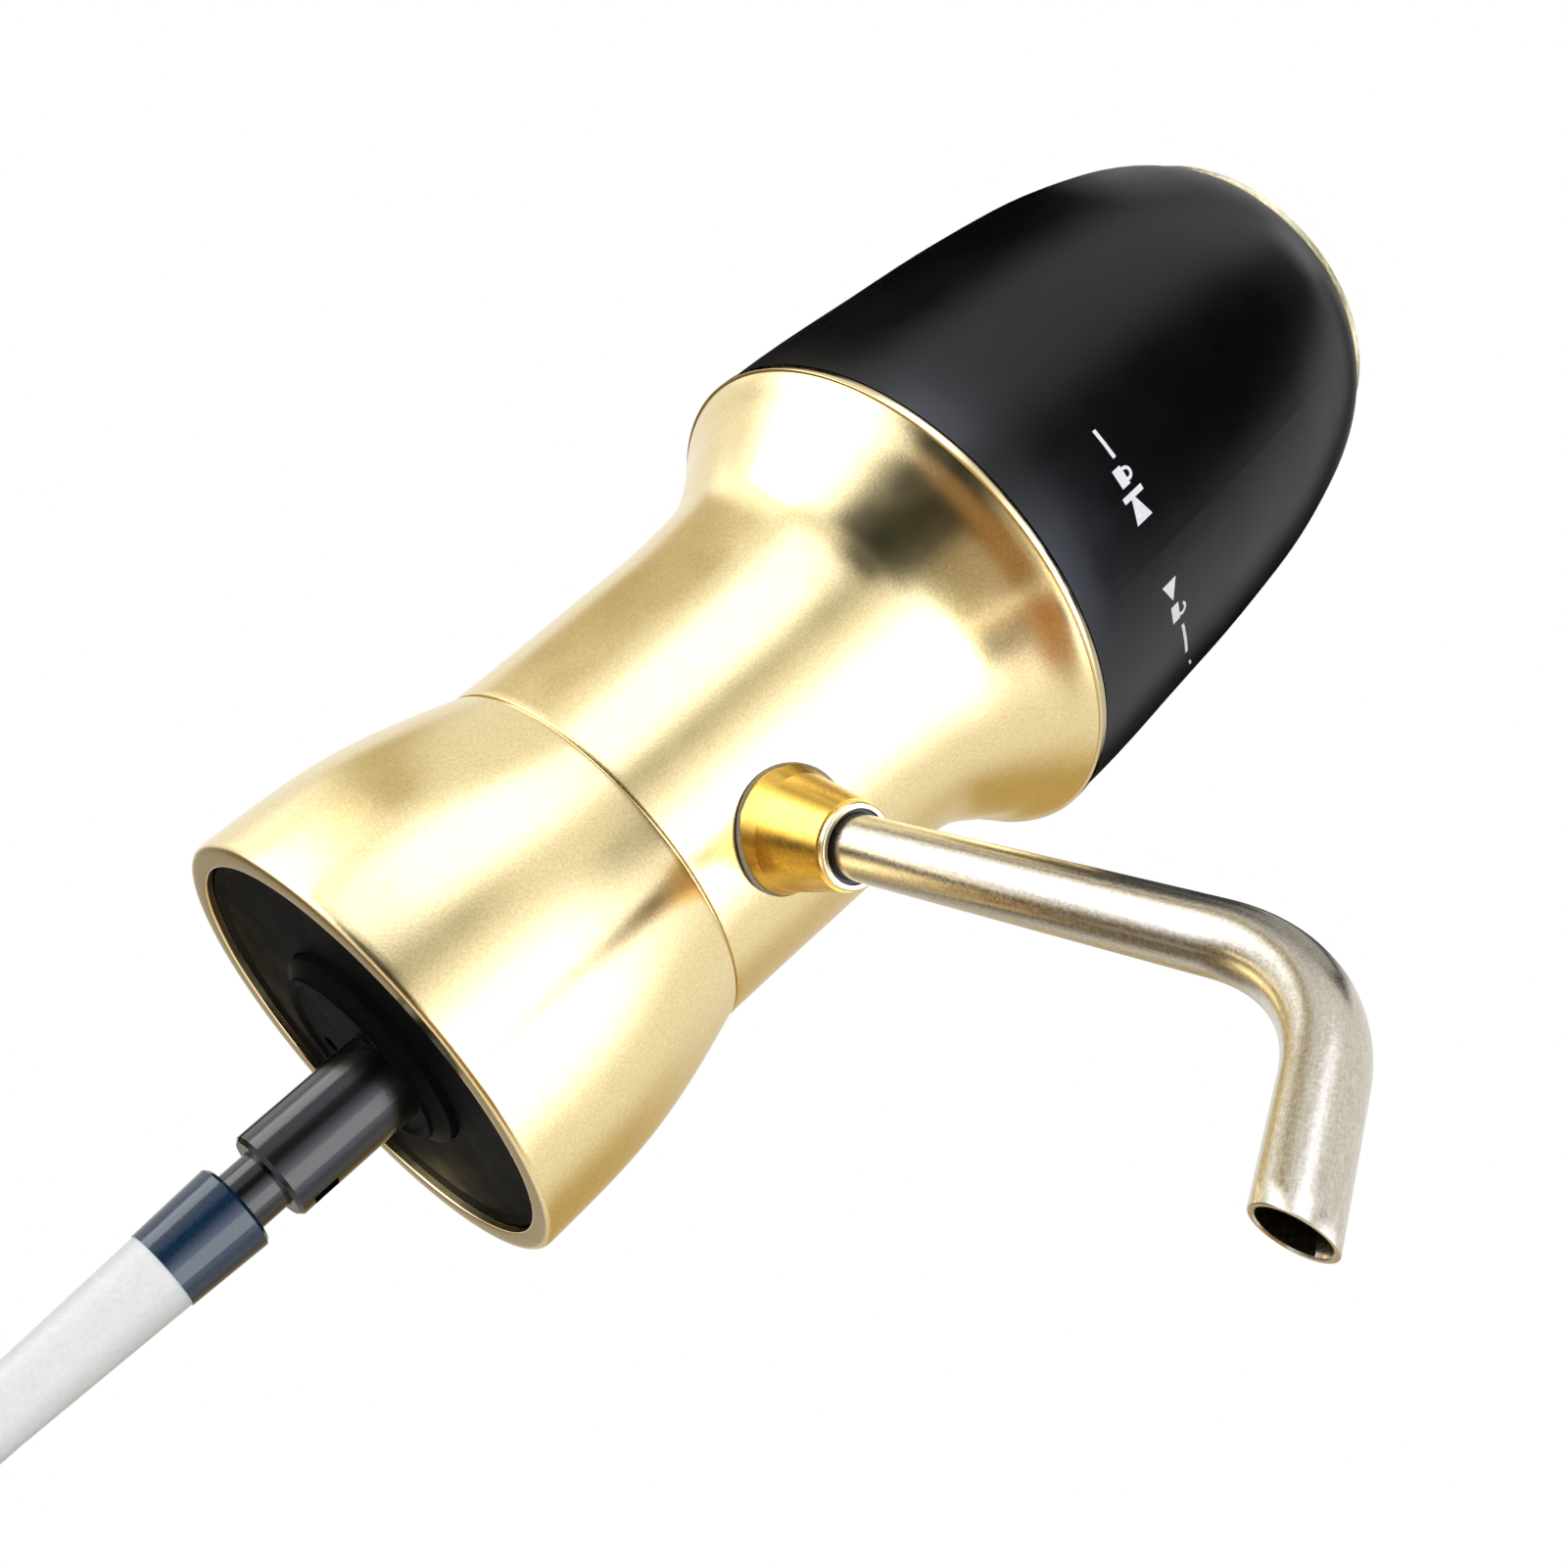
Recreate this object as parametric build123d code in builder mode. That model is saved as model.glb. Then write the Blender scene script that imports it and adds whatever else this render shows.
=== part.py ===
from build123d import *
import math
import os

# Electric wine aerator that sits on a bottle's mouth.
# Millimetres. +Z runs up the body, the spout points along +X.
# The origin is the centre of the skirt's mouth, at the lowest edge of the gold lip.

os.makedirs("parts", exist_ok=True)

# Driving dimensions of the outside
mouth_radius = 25.45
waist_radius = 21.4
rim_radius = 30.5
crown_radius = 21.4
rim_height = 77.8
crown_height = 139.9
shell_wall = 1.2
spout_height = 41.3
seam_drop = 11.6
skirt_height = spout_height - seam_drop
nozzle_offset = 5.5
air_offset = 6.0
full_turn = 360

# Clearances
gap = 0.3
seat_clearance = 0.05
run_clearance = 0.06
overrun = 1.0


def turned(*corners, centre=0, mode=Mode.ADD):
    """Turn a straight-sided (radius, height) profile about a vertical line at x = centre."""
    with BuildSketch(Plane.XZ) as profile:
        with BuildLine():
            Polyline(*[(centre + radius, height) for radius, height in corners], close=True)
        make_face()
    revolve(profile.sketch, axis=Axis((centre, 0, 0), (0, 0, 1)), mode=mode)


def turned_on_spout(*corners, mode=Mode.ADD):
    """Turn a straight-sided (distance, radius) profile about the spout's level axis."""
    with BuildSketch(Plane.XZ) as profile:
        with BuildLine():
            Polyline(*[(distance, spout_height + radius) for distance, radius in corners], close=True)
        make_face()
    revolve(profile.sketch, axis=Axis((0, 0, spout_height), (1, 0, 0)), mode=mode)


def disc(radius, low, high, bore=0):
    """Corners of a disc or ring between two heights."""
    return (bore, low), (radius, low), (radius, high), (bore, high)


def sleeve(start, end, radius, bore=0):
    """Corners of a sleeve along the spout's axis."""
    return (start, bore), (end, bore), (end, radius), (start, radius)


def polar_spots(radius, count, start=0):
    """Places spread evenly round the body's axis."""
    turns = [math.radians(start + full_turn / count * step) for step in range(count)]
    return [(radius * math.cos(turn), radius * math.sin(turn)) for turn in turns]


def post(spots, radius, low, high, mode=Mode.ADD):
    """Round posts, or holes, at the given places."""
    with BuildSketch(Plane.XY.offset(low)) as section:
        with Locations(*spots):
            Circle(radius)
    extrude(section.sketch, amount=high - low, mode=mode)


def screws(spots, head_radius, shank_radius, head_low, seat, tip, slot_width):
    """Cross-headed screws whose heads stand between head_low and seat, shanks up or down to tip."""
    post(spots, shank_radius, min(seat, tip), max(seat, tip))
    post(spots, head_radius, min(head_low, seat), max(head_low, seat))
    depth = abs(head_low - seat) / 2
    low = head_low if head_low < seat else head_low - depth
    with BuildSketch(Plane.XY.offset(low)) as cross:
        with Locations(*spots):
            Rectangle(head_radius, slot_width)
            Rectangle(slot_width, head_radius)
    extrude(cross.sketch, amount=depth, mode=Mode.SUBTRACT)


def coil(radius, wire, pitch, turns, low, centre=(0, 0)):
    """A wire spring: tangent arcs, two to each quarter turn, swept as one unbroken tube."""
    slope = math.atan2(pitch, 2 * math.pi * radius)
    points = []
    headings = []
    for step in range(round(turns * 4) + 1):
        angle = step * math.pi / 2
        across = Vector(math.cos(angle), math.sin(angle), 0)
        along = Vector(-math.sin(angle), math.cos(angle), 0)
        points.append(Vector(*centre, low + step * pitch / 4) + across * radius)
        headings.append(along * math.cos(slope) + Vector(0, 0, math.sin(slope)))
    edges = []
    for here, there, start, end in zip(points, points[1:], headings, headings[1:]):
        span = there - here
        both = start + end
        spread = 2 * (1 - start.dot(end))
        reach = (-span.dot(both) + math.sqrt(span.dot(both) ** 2 + spread * span.dot(span))) / spread
        middle = (here + start * reach + there - end * reach) * 0.5
        edges.append(Edge.make_tangent_arc(here, start, middle))
        edges.append(Edge.make_tangent_arc(middle, edges[-1].tangent_at(1), there))
    with BuildSketch(Plane(points[0], z_dir=headings[0])) as section:
        Circle(wire / 2)
    sweep(section.sketch, path=Wire(edges))


def arc_block(inner, outer, low, high, start, span, count, mode=Mode.ADD):
    """Blocks bent round the body's axis, spread evenly."""
    with BuildSketch(Plane.XY.offset(low)) as section:
        with PolarLocations(0, count):
            with BuildLine() as edge:
                near = CenterArc((0, 0), inner, start, span)
                far = CenterArc((0, 0), outer, start, span)
                Line(near @ 0, far @ 0)
                Line(near @ 1, far @ 1)
            make_face(edge.line)
    extrude(section.sketch, amount=high - low, mode=mode)


def drawn_shell(heights, radii, wall):
    """A thin shell turned from a smooth side through the given heights and radii."""
    with BuildSketch(Plane.XZ) as profile:
        with BuildLine():
            outside = Spline(*zip(radii, heights))
            inside = Spline(*[(radius - wall, height) for radius, height in zip(radii, heights)])
            Line(outside @ 0, inside @ 0)
            Line(outside @ 1, inside @ 1)
        make_face()
    revolve(profile.sketch, axis=Axis.Z)


def write(piece, node):
    """Name a finished piece and write it."""
    piece.part.label = node
    export_step(piece.part, f"parts/{node}.step")


def between(height, heights, radii):
    """Radius of a side at a height, read along straight lines between its points."""
    for low, high, near, far in zip(heights, heights[1:], radii, radii[1:]):
        if height <= high:
            return near + (far - near) * (height - low) / (high - low)
    return radii[-1]


# Skirt: the bell that hides the bottle's lip
lip_width = 2.5
lip_height = 2.4
lip_round = 0.8
seam_gap = 0.25
skirt_height_shares = (0, 0.25, 0.5, 0.75, 1)
skirt_swell_shares = (1, 0.975, 0.85, 0.5, 0)
skirt_heights = [skirt_height * share for share in skirt_height_shares]
skirt_radii = [waist_radius + (mouth_radius - waist_radius) * share for share in skirt_swell_shares]

with BuildPart() as skirt_shell:
    drawn_shell(skirt_heights, skirt_radii, shell_wall)
    turned(*disc(mouth_radius - shell_wall / 2, 0, lip_height, mouth_radius - lip_width))
    lip_edges = skirt_shell.edges().filter_by(GeomType.CIRCLE).group_by(Axis.Z)[0]
    fillet(lip_edges.sort_by(SortBy.RADIUS)[-1], radius=lip_round)
write(skirt_shell, "skirt_shell")

# Body: waist and flared bowl in one drawn shell, with a ledge inside for the deck
rim_ring_height = 0.9
bowl_height = rim_height - rim_ring_height
bowl_radius = rim_radius - gap
body_low = skirt_height + seam_gap
ledge_inner = 21.0
ledge_height = 1.8
deck_drop = 2.4
shank_radius = 5.0
deck_low = rim_height - deck_drop
body_height_shares = (0, 0.2, 0.405, 0.56, 0.67, 0.765, 0.834, 0.896, 0.947, 0.985, 1)
body_flare_shares = (0, 0.01, 0.03, 0.05, 0.1, 0.19, 0.36, 0.57, 0.77, 0.95, 1)
body_heights = [body_low + (bowl_height - body_low) * share for share in body_height_shares]
body_radii = [waist_radius + (bowl_radius - waist_radius) * share for share in body_flare_shares]
ledge_low = deck_low - ledge_height
ledge_low_radius = between(ledge_low, body_heights, body_radii) - shell_wall / 2
ledge_top_radius = between(deck_low, body_heights, body_radii) - shell_wall / 2

with BuildPart() as body_shell:
    drawn_shell(body_heights, body_radii, shell_wall)
    turned((ledge_inner, ledge_low), (ledge_low_radius, ledge_low),
           (ledge_top_radius, deck_low), (ledge_inner, deck_low))
    turned_on_spout(*sleeve(0, rim_radius, shank_radius + gap), mode=Mode.SUBTRACT)
    deck_screw_radius = 22.8
    deck_screw_core = 1.0
    deck_screw_spots = polar_spots(deck_screw_radius, 3, start=60)
    post(deck_screw_spots, deck_screw_core + seat_clearance, ledge_low - overrun, deck_low + overrun,
         mode=Mode.SUBTRACT)
write(body_shell, "body_shell")

# Polished ring on the bowl's edge
rim_ring_width = 2.0
rim_ring_round = 0.35
with BuildPart() as rim_ring:
    turned(*disc(rim_radius, bowl_height, rim_height, rim_radius - rim_ring_width))
    rim_edges = rim_ring.edges().filter_by(GeomType.CIRCLE).sort_by(SortBy.RADIUS)
    fillet(rim_edges[-2:], radius=rim_ring_round)
write(rim_ring, "rim_ring")

# Sleeve inside that joins the skirt to the body
joint_sleeve_wall = 1.4
sleeve_below_seam = 8.2
sleeve_above_seam = 3.3
joint_sleeve_low = skirt_height - sleeve_below_seam
joint_sleeve_high = skirt_height + sleeve_above_seam
joint_sleeve_radius = waist_radius - shell_wall - gap
with BuildPart() as joint_sleeve:
    turned(*disc(joint_sleeve_radius, joint_sleeve_low, joint_sleeve_high,
                 joint_sleeve_radius - joint_sleeve_wall))
write(joint_sleeve, "joint_sleeve")

# Base plate with its stepped boss, seen from below through the skirt's mouth
base_plate_thickness = 3.0
base_plate_high = lip_height + base_plate_thickness
base_plate_radius = mouth_radius - shell_wall - gap - gap
gasket_recess = 0.9
boss_foot_radius = 11.6
boss_shoulder_radius = 11.0
boss_top_radius = 10.1
boss_step = 0.5
boss_drop = 1.0
boss_dish_radius = 9.5
boss_dish_depth = 0.35
neck_radius = 4.0
nozzle_radius = 4.7
air_bore = 1.0
air_barb_radius = 1.6
air_barb_height = 7.0
with BuildPart() as base_plate:
    turned(*disc(base_plate_radius, lip_height, base_plate_high))
    turned((0, lip_height), (boss_foot_radius, lip_height), (boss_foot_radius, gasket_recess - boss_step),
           (boss_shoulder_radius, gasket_recess - boss_step - boss_step / 2),
           (boss_top_radius, -boss_drop + boss_step), (boss_top_radius, -boss_drop),
           (boss_dish_radius, -boss_drop),
           (boss_dish_radius - boss_dish_depth, -boss_drop + boss_dish_depth),
           (0, -boss_drop + boss_dish_depth))
    post([(-air_offset, 0)], air_barb_radius, base_plate_high, base_plate_high + air_barb_height)
    post([(-air_offset, 0)], air_bore, -boss_drop - overrun, base_plate_high + air_barb_height + overrun,
         mode=Mode.SUBTRACT)
    post([(nozzle_offset, 0)], neck_radius + seat_clearance, -boss_drop - overrun, base_plate_high + overrun,
         mode=Mode.SUBTRACT)
write(base_plate, "base_plate")

# Snap ring that holds the base plate down on the lip
snap_ring_height = 1.5
snap_ring_width = 3.0
with BuildPart() as retaining_ring:
    turned(*disc(base_plate_radius, base_plate_high, base_plate_high + snap_ring_height,
                 base_plate_radius - snap_ring_width))
write(retaining_ring, "retaining_ring")

# Silicone pad that the bottle's lip presses on, slightly hollow
gasket_hollow = 0.3
gasket_edge = 1.2
gasket_radius = mouth_radius - lip_width - gap / 2
gasket_bore = boss_foot_radius + gap / 2
with BuildPart() as bottle_gasket:
    turned((gasket_bore, lip_height), (gasket_bore, gasket_recess + gasket_hollow),
           (gasket_radius - gasket_edge, gasket_recess + gasket_hollow), (gasket_radius, gasket_recess),
           (gasket_radius, lip_height))
write(bottle_gasket, "bottle_gasket")

# Intake nozzle, off the axis towards the spout, with a barb above the base plate
nozzle_low = -15.2
nozzle_chamfer = 0.4
nozzle_barb_radius = 3.0
nozzle_barb_height = 8.6
wine_bore = 1.9
stub_radius = 3.1
stub_seat = 9.0
nozzle_top = -boss_drop
groove_width = 0.5
groove_depth = 0.35
groove_turn = -104
window_turn = 48
window_width = 2.6
window_low = 1.6
window_height = 2.8
with BuildPart() as intake_nozzle:
    turned((0, nozzle_low), (nozzle_radius - nozzle_chamfer, nozzle_low),
           (nozzle_radius, nozzle_low + nozzle_chamfer), (nozzle_radius, nozzle_top),
           (neck_radius, nozzle_top), (neck_radius, base_plate_high),
           (nozzle_barb_radius, base_plate_high), (nozzle_barb_radius, base_plate_high + nozzle_barb_height),
           (0, base_plate_high + nozzle_barb_height), centre=nozzle_offset)
    turned(*disc(wine_bore, nozzle_low, base_plate_high + nozzle_barb_height), centre=nozzle_offset,
           mode=Mode.SUBTRACT)
    turned(*disc(stub_radius + seat_clearance, nozzle_low, nozzle_low + stub_seat), centre=nozzle_offset,
           mode=Mode.SUBTRACT)
    for turn, width, depth, low, high in (
            (groove_turn, groove_width, groove_depth, nozzle_low, nozzle_top),
            (window_turn, window_width, nozzle_radius - stub_radius, nozzle_low + window_low,
             nozzle_low + window_low + window_height)):
        face = Plane((nozzle_offset, 0, low), x_dir=Vector(1, 0, 0).rotate(Axis.Z, turn), z_dir=(0, 0, 1))
        with BuildSketch(face) as cut:
            with Locations((nozzle_radius, 0)):
                Rectangle(2 * depth, width)
        extrude(cut.sketch, amount=high - low, mode=Mode.SUBTRACT)
write(intake_nozzle, "intake_nozzle")

# Stub that plugs into the nozzle and carries the dip tube
coupling_high = -18.7
coupling_low = -27.2
stub_low = -36.5
stub_tip_radius = 2.7
bell_low = -46.0
tube_tip = -280.0
coupling_top_radius = 4.5
coupling_low_radius = 4.13
coupling_round = 0.35
bell_radius = 4.0
tube_radius = 3.3
tube_wall = 0.7
tip_cut_angle = 45
stub_top = nozzle_low + stub_seat - gap
with BuildPart() as intake_stub:
    turned((wine_bore, stub_top), (stub_radius, stub_top), (stub_radius, coupling_low),
           (stub_tip_radius, stub_low), (wine_bore, stub_low), centre=nozzle_offset)
write(intake_stub, "intake_stub")

with BuildPart() as coupling_sleeve:
    turned((stub_radius + seat_clearance, coupling_high),
           (coupling_top_radius - coupling_round, coupling_high),
           (coupling_top_radius, coupling_high - coupling_round),
           (coupling_low_radius, coupling_low), (stub_radius + seat_clearance, coupling_low),
           centre=nozzle_offset)
write(coupling_sleeve, "coupling_sleeve")

with BuildPart() as dip_tube:
    turned((stub_radius + seat_clearance, coupling_low), (bell_radius, coupling_low),
           (tube_radius, bell_low), (tube_radius, tube_tip - tube_radius),
           (tube_radius - tube_wall, tube_tip - tube_radius), (tube_radius - tube_wall, bell_low),
           (stub_tip_radius + seat_clearance, stub_low - seat_clearance),
           centre=nozzle_offset)
    tip = Plane((nozzle_offset, 0, tube_tip), z_dir=Vector(0, 0, -1).rotate(Axis.Y, tip_cut_angle))
    split(bisect_by=tip, keep=Keep.BOTTOM)
write(dip_tube, "dip_tube")

# Flow block: turns the wine from the riser into the spout
block_start = 1.5
block_end = 19.0
block_radius = 6.4
ferrule_room = 11.0
ferrule_length = 1.6
ferrule_radius = 3.9
spout_radius = 3.2
spout_wall = 0.5
block_wall = 2.0
block_barb_drop = 12.8
block_barb_low = spout_height - block_barb_drop
seal_start = ferrule_room + ferrule_length + 2 * gap + gap
seal_length = 1.8
seal_radius = shank_radius
with BuildPart() as flow_block:
    turned_on_spout(*sleeve(block_start, block_end, block_radius))
    turned(*disc(nozzle_barb_radius, block_barb_low, spout_height), centre=nozzle_offset)
    turned_on_spout(*sleeve(block_start + block_wall, ferrule_room + overrun, wine_bore),
                    mode=Mode.SUBTRACT)
    turned(*disc(wine_bore, block_barb_low - overrun, spout_height), centre=nozzle_offset,
           mode=Mode.SUBTRACT)
    turned_on_spout(*sleeve(ferrule_room, block_end, ferrule_radius + gap), mode=Mode.SUBTRACT)
    turned_on_spout(*sleeve(seal_start, block_end + overrun, seal_radius + seat_clearance),
                    mode=Mode.SUBTRACT)
write(flow_block, "flow_block")

# Seal round the spout inside the block
with BuildPart() as spout_seal:
    turned_on_spout(*sleeve(seal_start, seal_start + seal_length, seal_radius, spout_radius + run_clearance))
write(spout_seal, "spout_seal")

# Gold cone collar on the waist that the spout turns in
collar_foot_radius = 6.5
collar_flare_radius = 5.85
collar_flare_height = 1.8
collar_mouth_radius = 4.5
collar_end = 31.4
collar_lip_radius = 4.3
collar_lip_length = 0.8
collar_round = 0.25
ring_depth = 1.3
ring_radius = 3.7
collar_gasket_thickness = 0.3
collar_gasket_radius = 6.65
seat_radius = between(spout_height + collar_gasket_radius, body_heights, body_radii) + seat_clearance
shank_start = seal_start + seal_length
with BuildPart() as spout_collar:
    turned_on_spout((shank_start, 0), (shank_start, shank_radius), (waist_radius, shank_radius),
                    (waist_radius, collar_foot_radius),
                    (waist_radius + collar_flare_height, collar_flare_radius),
                    (collar_end - collar_lip_length, collar_mouth_radius),
                    (collar_end - collar_lip_length, collar_lip_radius), (collar_end, collar_lip_radius),
                    (collar_end, 0))
    turned_on_spout(*sleeve(0, waist_radius, collar_foot_radius, shank_radius))
    turned_on_spout(*sleeve(0, shank_start, rim_radius), mode=Mode.SUBTRACT)
    turned_on_spout(*sleeve(shank_start, collar_end + overrun, spout_radius + run_clearance),
                    mode=Mode.SUBTRACT)
    turned_on_spout(*sleeve(collar_end - ring_depth, collar_end + overrun, ring_radius), mode=Mode.SUBTRACT)
    rounded = spout_collar.edges().filter_by(GeomType.CIRCLE).group_by(Axis.X)[-1].sort_by(SortBy.RADIUS)[-1]
    fillet(rounded, radius=collar_round)
    with BuildSketch(Plane.XY.offset(spout_height - collar_gasket_radius)) as waist:
        Circle(seat_radius + collar_gasket_thickness)
    extrude(waist.sketch, amount=2 * collar_gasket_radius, mode=Mode.SUBTRACT)
    turned_on_spout(*sleeve(shank_start, seat_radius + collar_gasket_thickness, shank_radius,
                            spout_radius + run_clearance))
write(spout_collar, "spout_collar")

# Pale gasket under the collar, curved to the waist
with BuildPart() as collar_gasket:
    turned_on_spout(*sleeve(0, rim_radius, collar_gasket_radius, shank_radius + seat_clearance))
    with BuildSketch(Plane.XY.offset(spout_height - rim_radius)) as saddle:
        Circle(seat_radius + collar_gasket_thickness - seat_clearance)
    extrude(saddle.sketch, amount=2 * rim_radius, mode=Mode.INTERSECT)
    with BuildSketch(Plane.XY.offset(spout_height - rim_radius)) as waist:
        Circle(seat_radius)
    extrude(waist.sketch, amount=2 * rim_radius, mode=Mode.SUBTRACT)
write(collar_gasket, "collar_gasket")

# Black wiper ring in the collar's mouth
ring_inset = 0.3
with BuildPart() as wiper_ring:
    turned_on_spout(*sleeve(collar_end - ring_depth, collar_end - ring_inset, ring_radius - seat_clearance,
                            spout_radius + run_clearance))
write(wiper_ring, "wiper_ring")

# Bent steel spout
spout_start = 11.6
spout_run = 74.6
spout_bend_radius = 18.8
spout_bend = 64.2
spout_leg = 13.7
spout_cut_angle = 24.7
spout_cut_skew = 10.5
with BuildPart() as spout_tube:
    with BuildLine(Plane.XZ) as route:
        first = Line((spout_start, spout_height), (spout_run, spout_height))
        bend = JernArc(first @ 1, first % 1, spout_bend_radius, -spout_bend)
        Line(bend @ 1, (bend @ 1) + (bend % 1) * (spout_leg + 2 * spout_radius))
    with BuildSketch(Plane(route.line @ 0, z_dir=(1, 0, 0))):
        Circle(spout_radius)
        Circle(spout_radius - spout_wall, mode=Mode.SUBTRACT)
    sweep(path=route.line)
    leg_way = route.line % 1
    leg_end = route.line @ 1 - leg_way * 2 * spout_radius
    skewed = Vector(0, math.tan(math.radians(spout_cut_skew)), 0)
    mouth_plane = Plane(leg_end, z_dir=leg_way.rotate(Axis.Y, spout_cut_angle) + skewed)
    split(bisect_by=mouth_plane, keep=Keep.BOTTOM)
write(spout_tube, "spout_tube")

# Ferrule on the spout's inner end, held behind the seal
with BuildPart() as spout_ferrule:
    turned_on_spout(*sleeve(spout_start, spout_start + ferrule_length, ferrule_radius,
                            spout_radius + seat_clearance))
write(spout_ferrule, "spout_ferrule")

# Silicone hoses inside the skirt: wine up to the block, air down to the bottle
riser_wall = 1.2
riser_low = base_plate_high + base_plate_thickness
riser_high = spout_height - block_radius - gap
with BuildPart() as riser_hose:
    turned(*disc(nozzle_barb_radius + seat_clearance + riser_wall, riser_low, riser_high,
                 nozzle_barb_radius + seat_clearance), centre=nozzle_offset)
write(riser_hose, "riser_hose")

# Diaphragm air pump, stacked from its head up to the motor
pump_radius = 11.4
pump_low = spout_height + block_radius + 4 * gap
head_height = 4.0
valve_height = 1.2
film_height = 1.2
cup_height = 2.7
cup_radius = 3.0
cup_place = 6.2
nub_radius = 0.9
nub_height = 3.0
head_barb_length = 5.0
pump_bore = 0.8
valve_low = pump_low + head_height
film_low = valve_low + valve_height
cup_low = film_low + film_height
cup_high = cup_low + cup_height
cup_spots = polar_spots(cup_place, 3, start=90)
port_radius = 1.1
with BuildPart() as pump_head:
    turned(*disc(pump_radius, pump_low, valve_low))
    turned(*disc(air_barb_radius, pump_low - head_barb_length, pump_low), centre=-air_offset)
    post([(-air_offset, 0)], pump_bore, pump_low - head_barb_length - overrun, pump_low + head_height / 2,
         mode=Mode.SUBTRACT)
    turned(*disc(cup_place + port_radius, valve_low - head_height / 2, valve_low, cup_place - port_radius),
           mode=Mode.SUBTRACT)
write(pump_head, "pump_head")

air_hose_low = base_plate_high + snap_ring_height
air_hose_wall = 1.1
with BuildPart() as air_hose:
    turned(*disc(air_barb_radius + seat_clearance + air_hose_wall, air_hose_low, pump_low - gap,
                 air_barb_radius + seat_clearance), centre=-air_offset)
write(air_hose, "air_hose")

with BuildPart() as valve_plate:
    turned(*disc(pump_radius, valve_low, film_low))
    post(cup_spots, port_radius, valve_low - overrun, film_low + overrun, mode=Mode.SUBTRACT)
write(valve_plate, "valve_plate")

with BuildPart() as diaphragm:
    turned(*disc(pump_radius, film_low, cup_low))
    post(cup_spots, cup_radius, cup_low, cup_high)
    post(cup_spots, nub_radius, cup_high, cup_high + nub_height)
    post(cup_spots, cup_radius - film_height, film_low - overrun, cup_high - film_height, mode=Mode.SUBTRACT)
write(diaphragm, "diaphragm")

# Plate that the motor's cam rocks, which works the three cups
swing_radius = 9.0
swing_thickness = 1.4
swing_tilt = 3
swing_middle = cup_high + swing_thickness / 2 + 2 * gap + swing_thickness / 4
swing_way = Vector(0, 0, 1).rotate(Axis.X, swing_tilt)
with BuildPart() as swing_plate:
    with BuildSketch(Plane((0, 0, swing_middle), x_dir=(1, 0, 0), z_dir=swing_way)):
        Circle(swing_radius)
        with Locations(*cup_spots):
            Circle(nub_radius + gap, mode=Mode.SUBTRACT)
    extrude(amount=swing_thickness / 2, both=True)
write(swing_plate, "swing_plate")

# Frame round the pump, hung from the deck by two screws
frame_wall = 0.9
frame_lip = 1.0
frame_flange_radius = 17.4
frame_flange_height = 1.2
cam_height = 2.2
cam_radius = 4.2
cam_low = swing_middle + swing_thickness + 2 * gap
frame_roof = cam_low + cam_height + 2 * gap
motor_low = frame_roof + frame_flange_height
frame_bore = pump_radius + gap
frame_radius = frame_bore + frame_wall
shaft_radius = 1.0
bush_radius = 2.0
pump_screw_radius = 15.0
pump_screw_core = 1.0
pump_screw_head = 1.9
pump_screw_head_height = 1.3
pump_screw_spots = polar_spots(pump_screw_radius, 2, start=90)
window_span = 9.0
with BuildPart() as pump_frame:
    turned((frame_bore, pump_low - frame_wall), (frame_radius, pump_low - frame_wall),
           (frame_radius, frame_roof), (frame_flange_radius, frame_roof),
           (frame_flange_radius, motor_low), (bush_radius + gap, motor_low),
           (bush_radius + gap, frame_roof), (frame_bore, frame_roof))
    turned(*disc(frame_bore + frame_wall / 2, pump_low - frame_wall, pump_low, frame_bore - frame_lip))
    post(pump_screw_spots, pump_screw_core + seat_clearance, frame_roof - overrun, motor_low + overrun,
         mode=Mode.SUBTRACT)
    with BuildSketch(Plane.XY.offset(cup_low)) as window:
        Rectangle(window_span, 2 * frame_flange_radius)
    extrude(window.sketch, amount=cup_height, mode=Mode.SUBTRACT)
write(pump_frame, "pump_frame")

# Motor: can, bush, magnets, end cap and terminals
can_radius = 10.0
can_wall = 0.6
can_height = 9.0
can_high = motor_low + can_height
bush_height = 2.2
with BuildPart() as motor_can:
    turned((bush_radius + seat_clearance, motor_low), (can_radius, motor_low), (can_radius, can_high),
           (can_radius - can_wall, can_high), (can_radius - can_wall, motor_low + can_wall),
           (bush_radius + seat_clearance, motor_low + can_wall))
write(motor_can, "motor_can")

with BuildPart() as motor_bush:
    turned(*disc(bush_radius, motor_low - frame_flange_height / 2, motor_low + bush_height / 2,
                 shaft_radius + run_clearance))
write(motor_bush, "motor_bush")

magnet_wall = 2.0
magnet_low = motor_low + can_wall + gap
magnet_height = 5.6
magnet_radius = can_radius - can_wall - seat_clearance
with BuildPart() as motor_magnets:
    turned(*disc(magnet_radius, magnet_low, magnet_low + magnet_height, magnet_radius - magnet_wall))
    with BuildSketch(Plane.XY.offset(magnet_low)) as split_line:
        Rectangle(2 * can_radius, magnet_wall)
    extrude(split_line.sketch, amount=magnet_height, mode=Mode.SUBTRACT)
write(motor_magnets, "motor_magnets")

end_cap_height = 1.9
terminal_width = 1.6
terminal_thickness = 0.4
terminal_place = 6.0
terminal_height = 2.0
with BuildPart() as motor_end_cap:
    turned(*disc(magnet_radius, can_high - end_cap_height / 2, can_high + end_cap_height / 2,
                 shaft_radius + run_clearance))
    with BuildSketch(Plane.XY.offset(can_high - end_cap_height)) as slots:
        with Locations((terminal_place, 0), (-terminal_place, 0)):
            Rectangle(terminal_thickness + 2 * seat_clearance, terminal_width + 2 * seat_clearance)
    extrude(slots.sketch, amount=2 * end_cap_height, mode=Mode.SUBTRACT)
write(motor_end_cap, "motor_end_cap")

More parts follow.
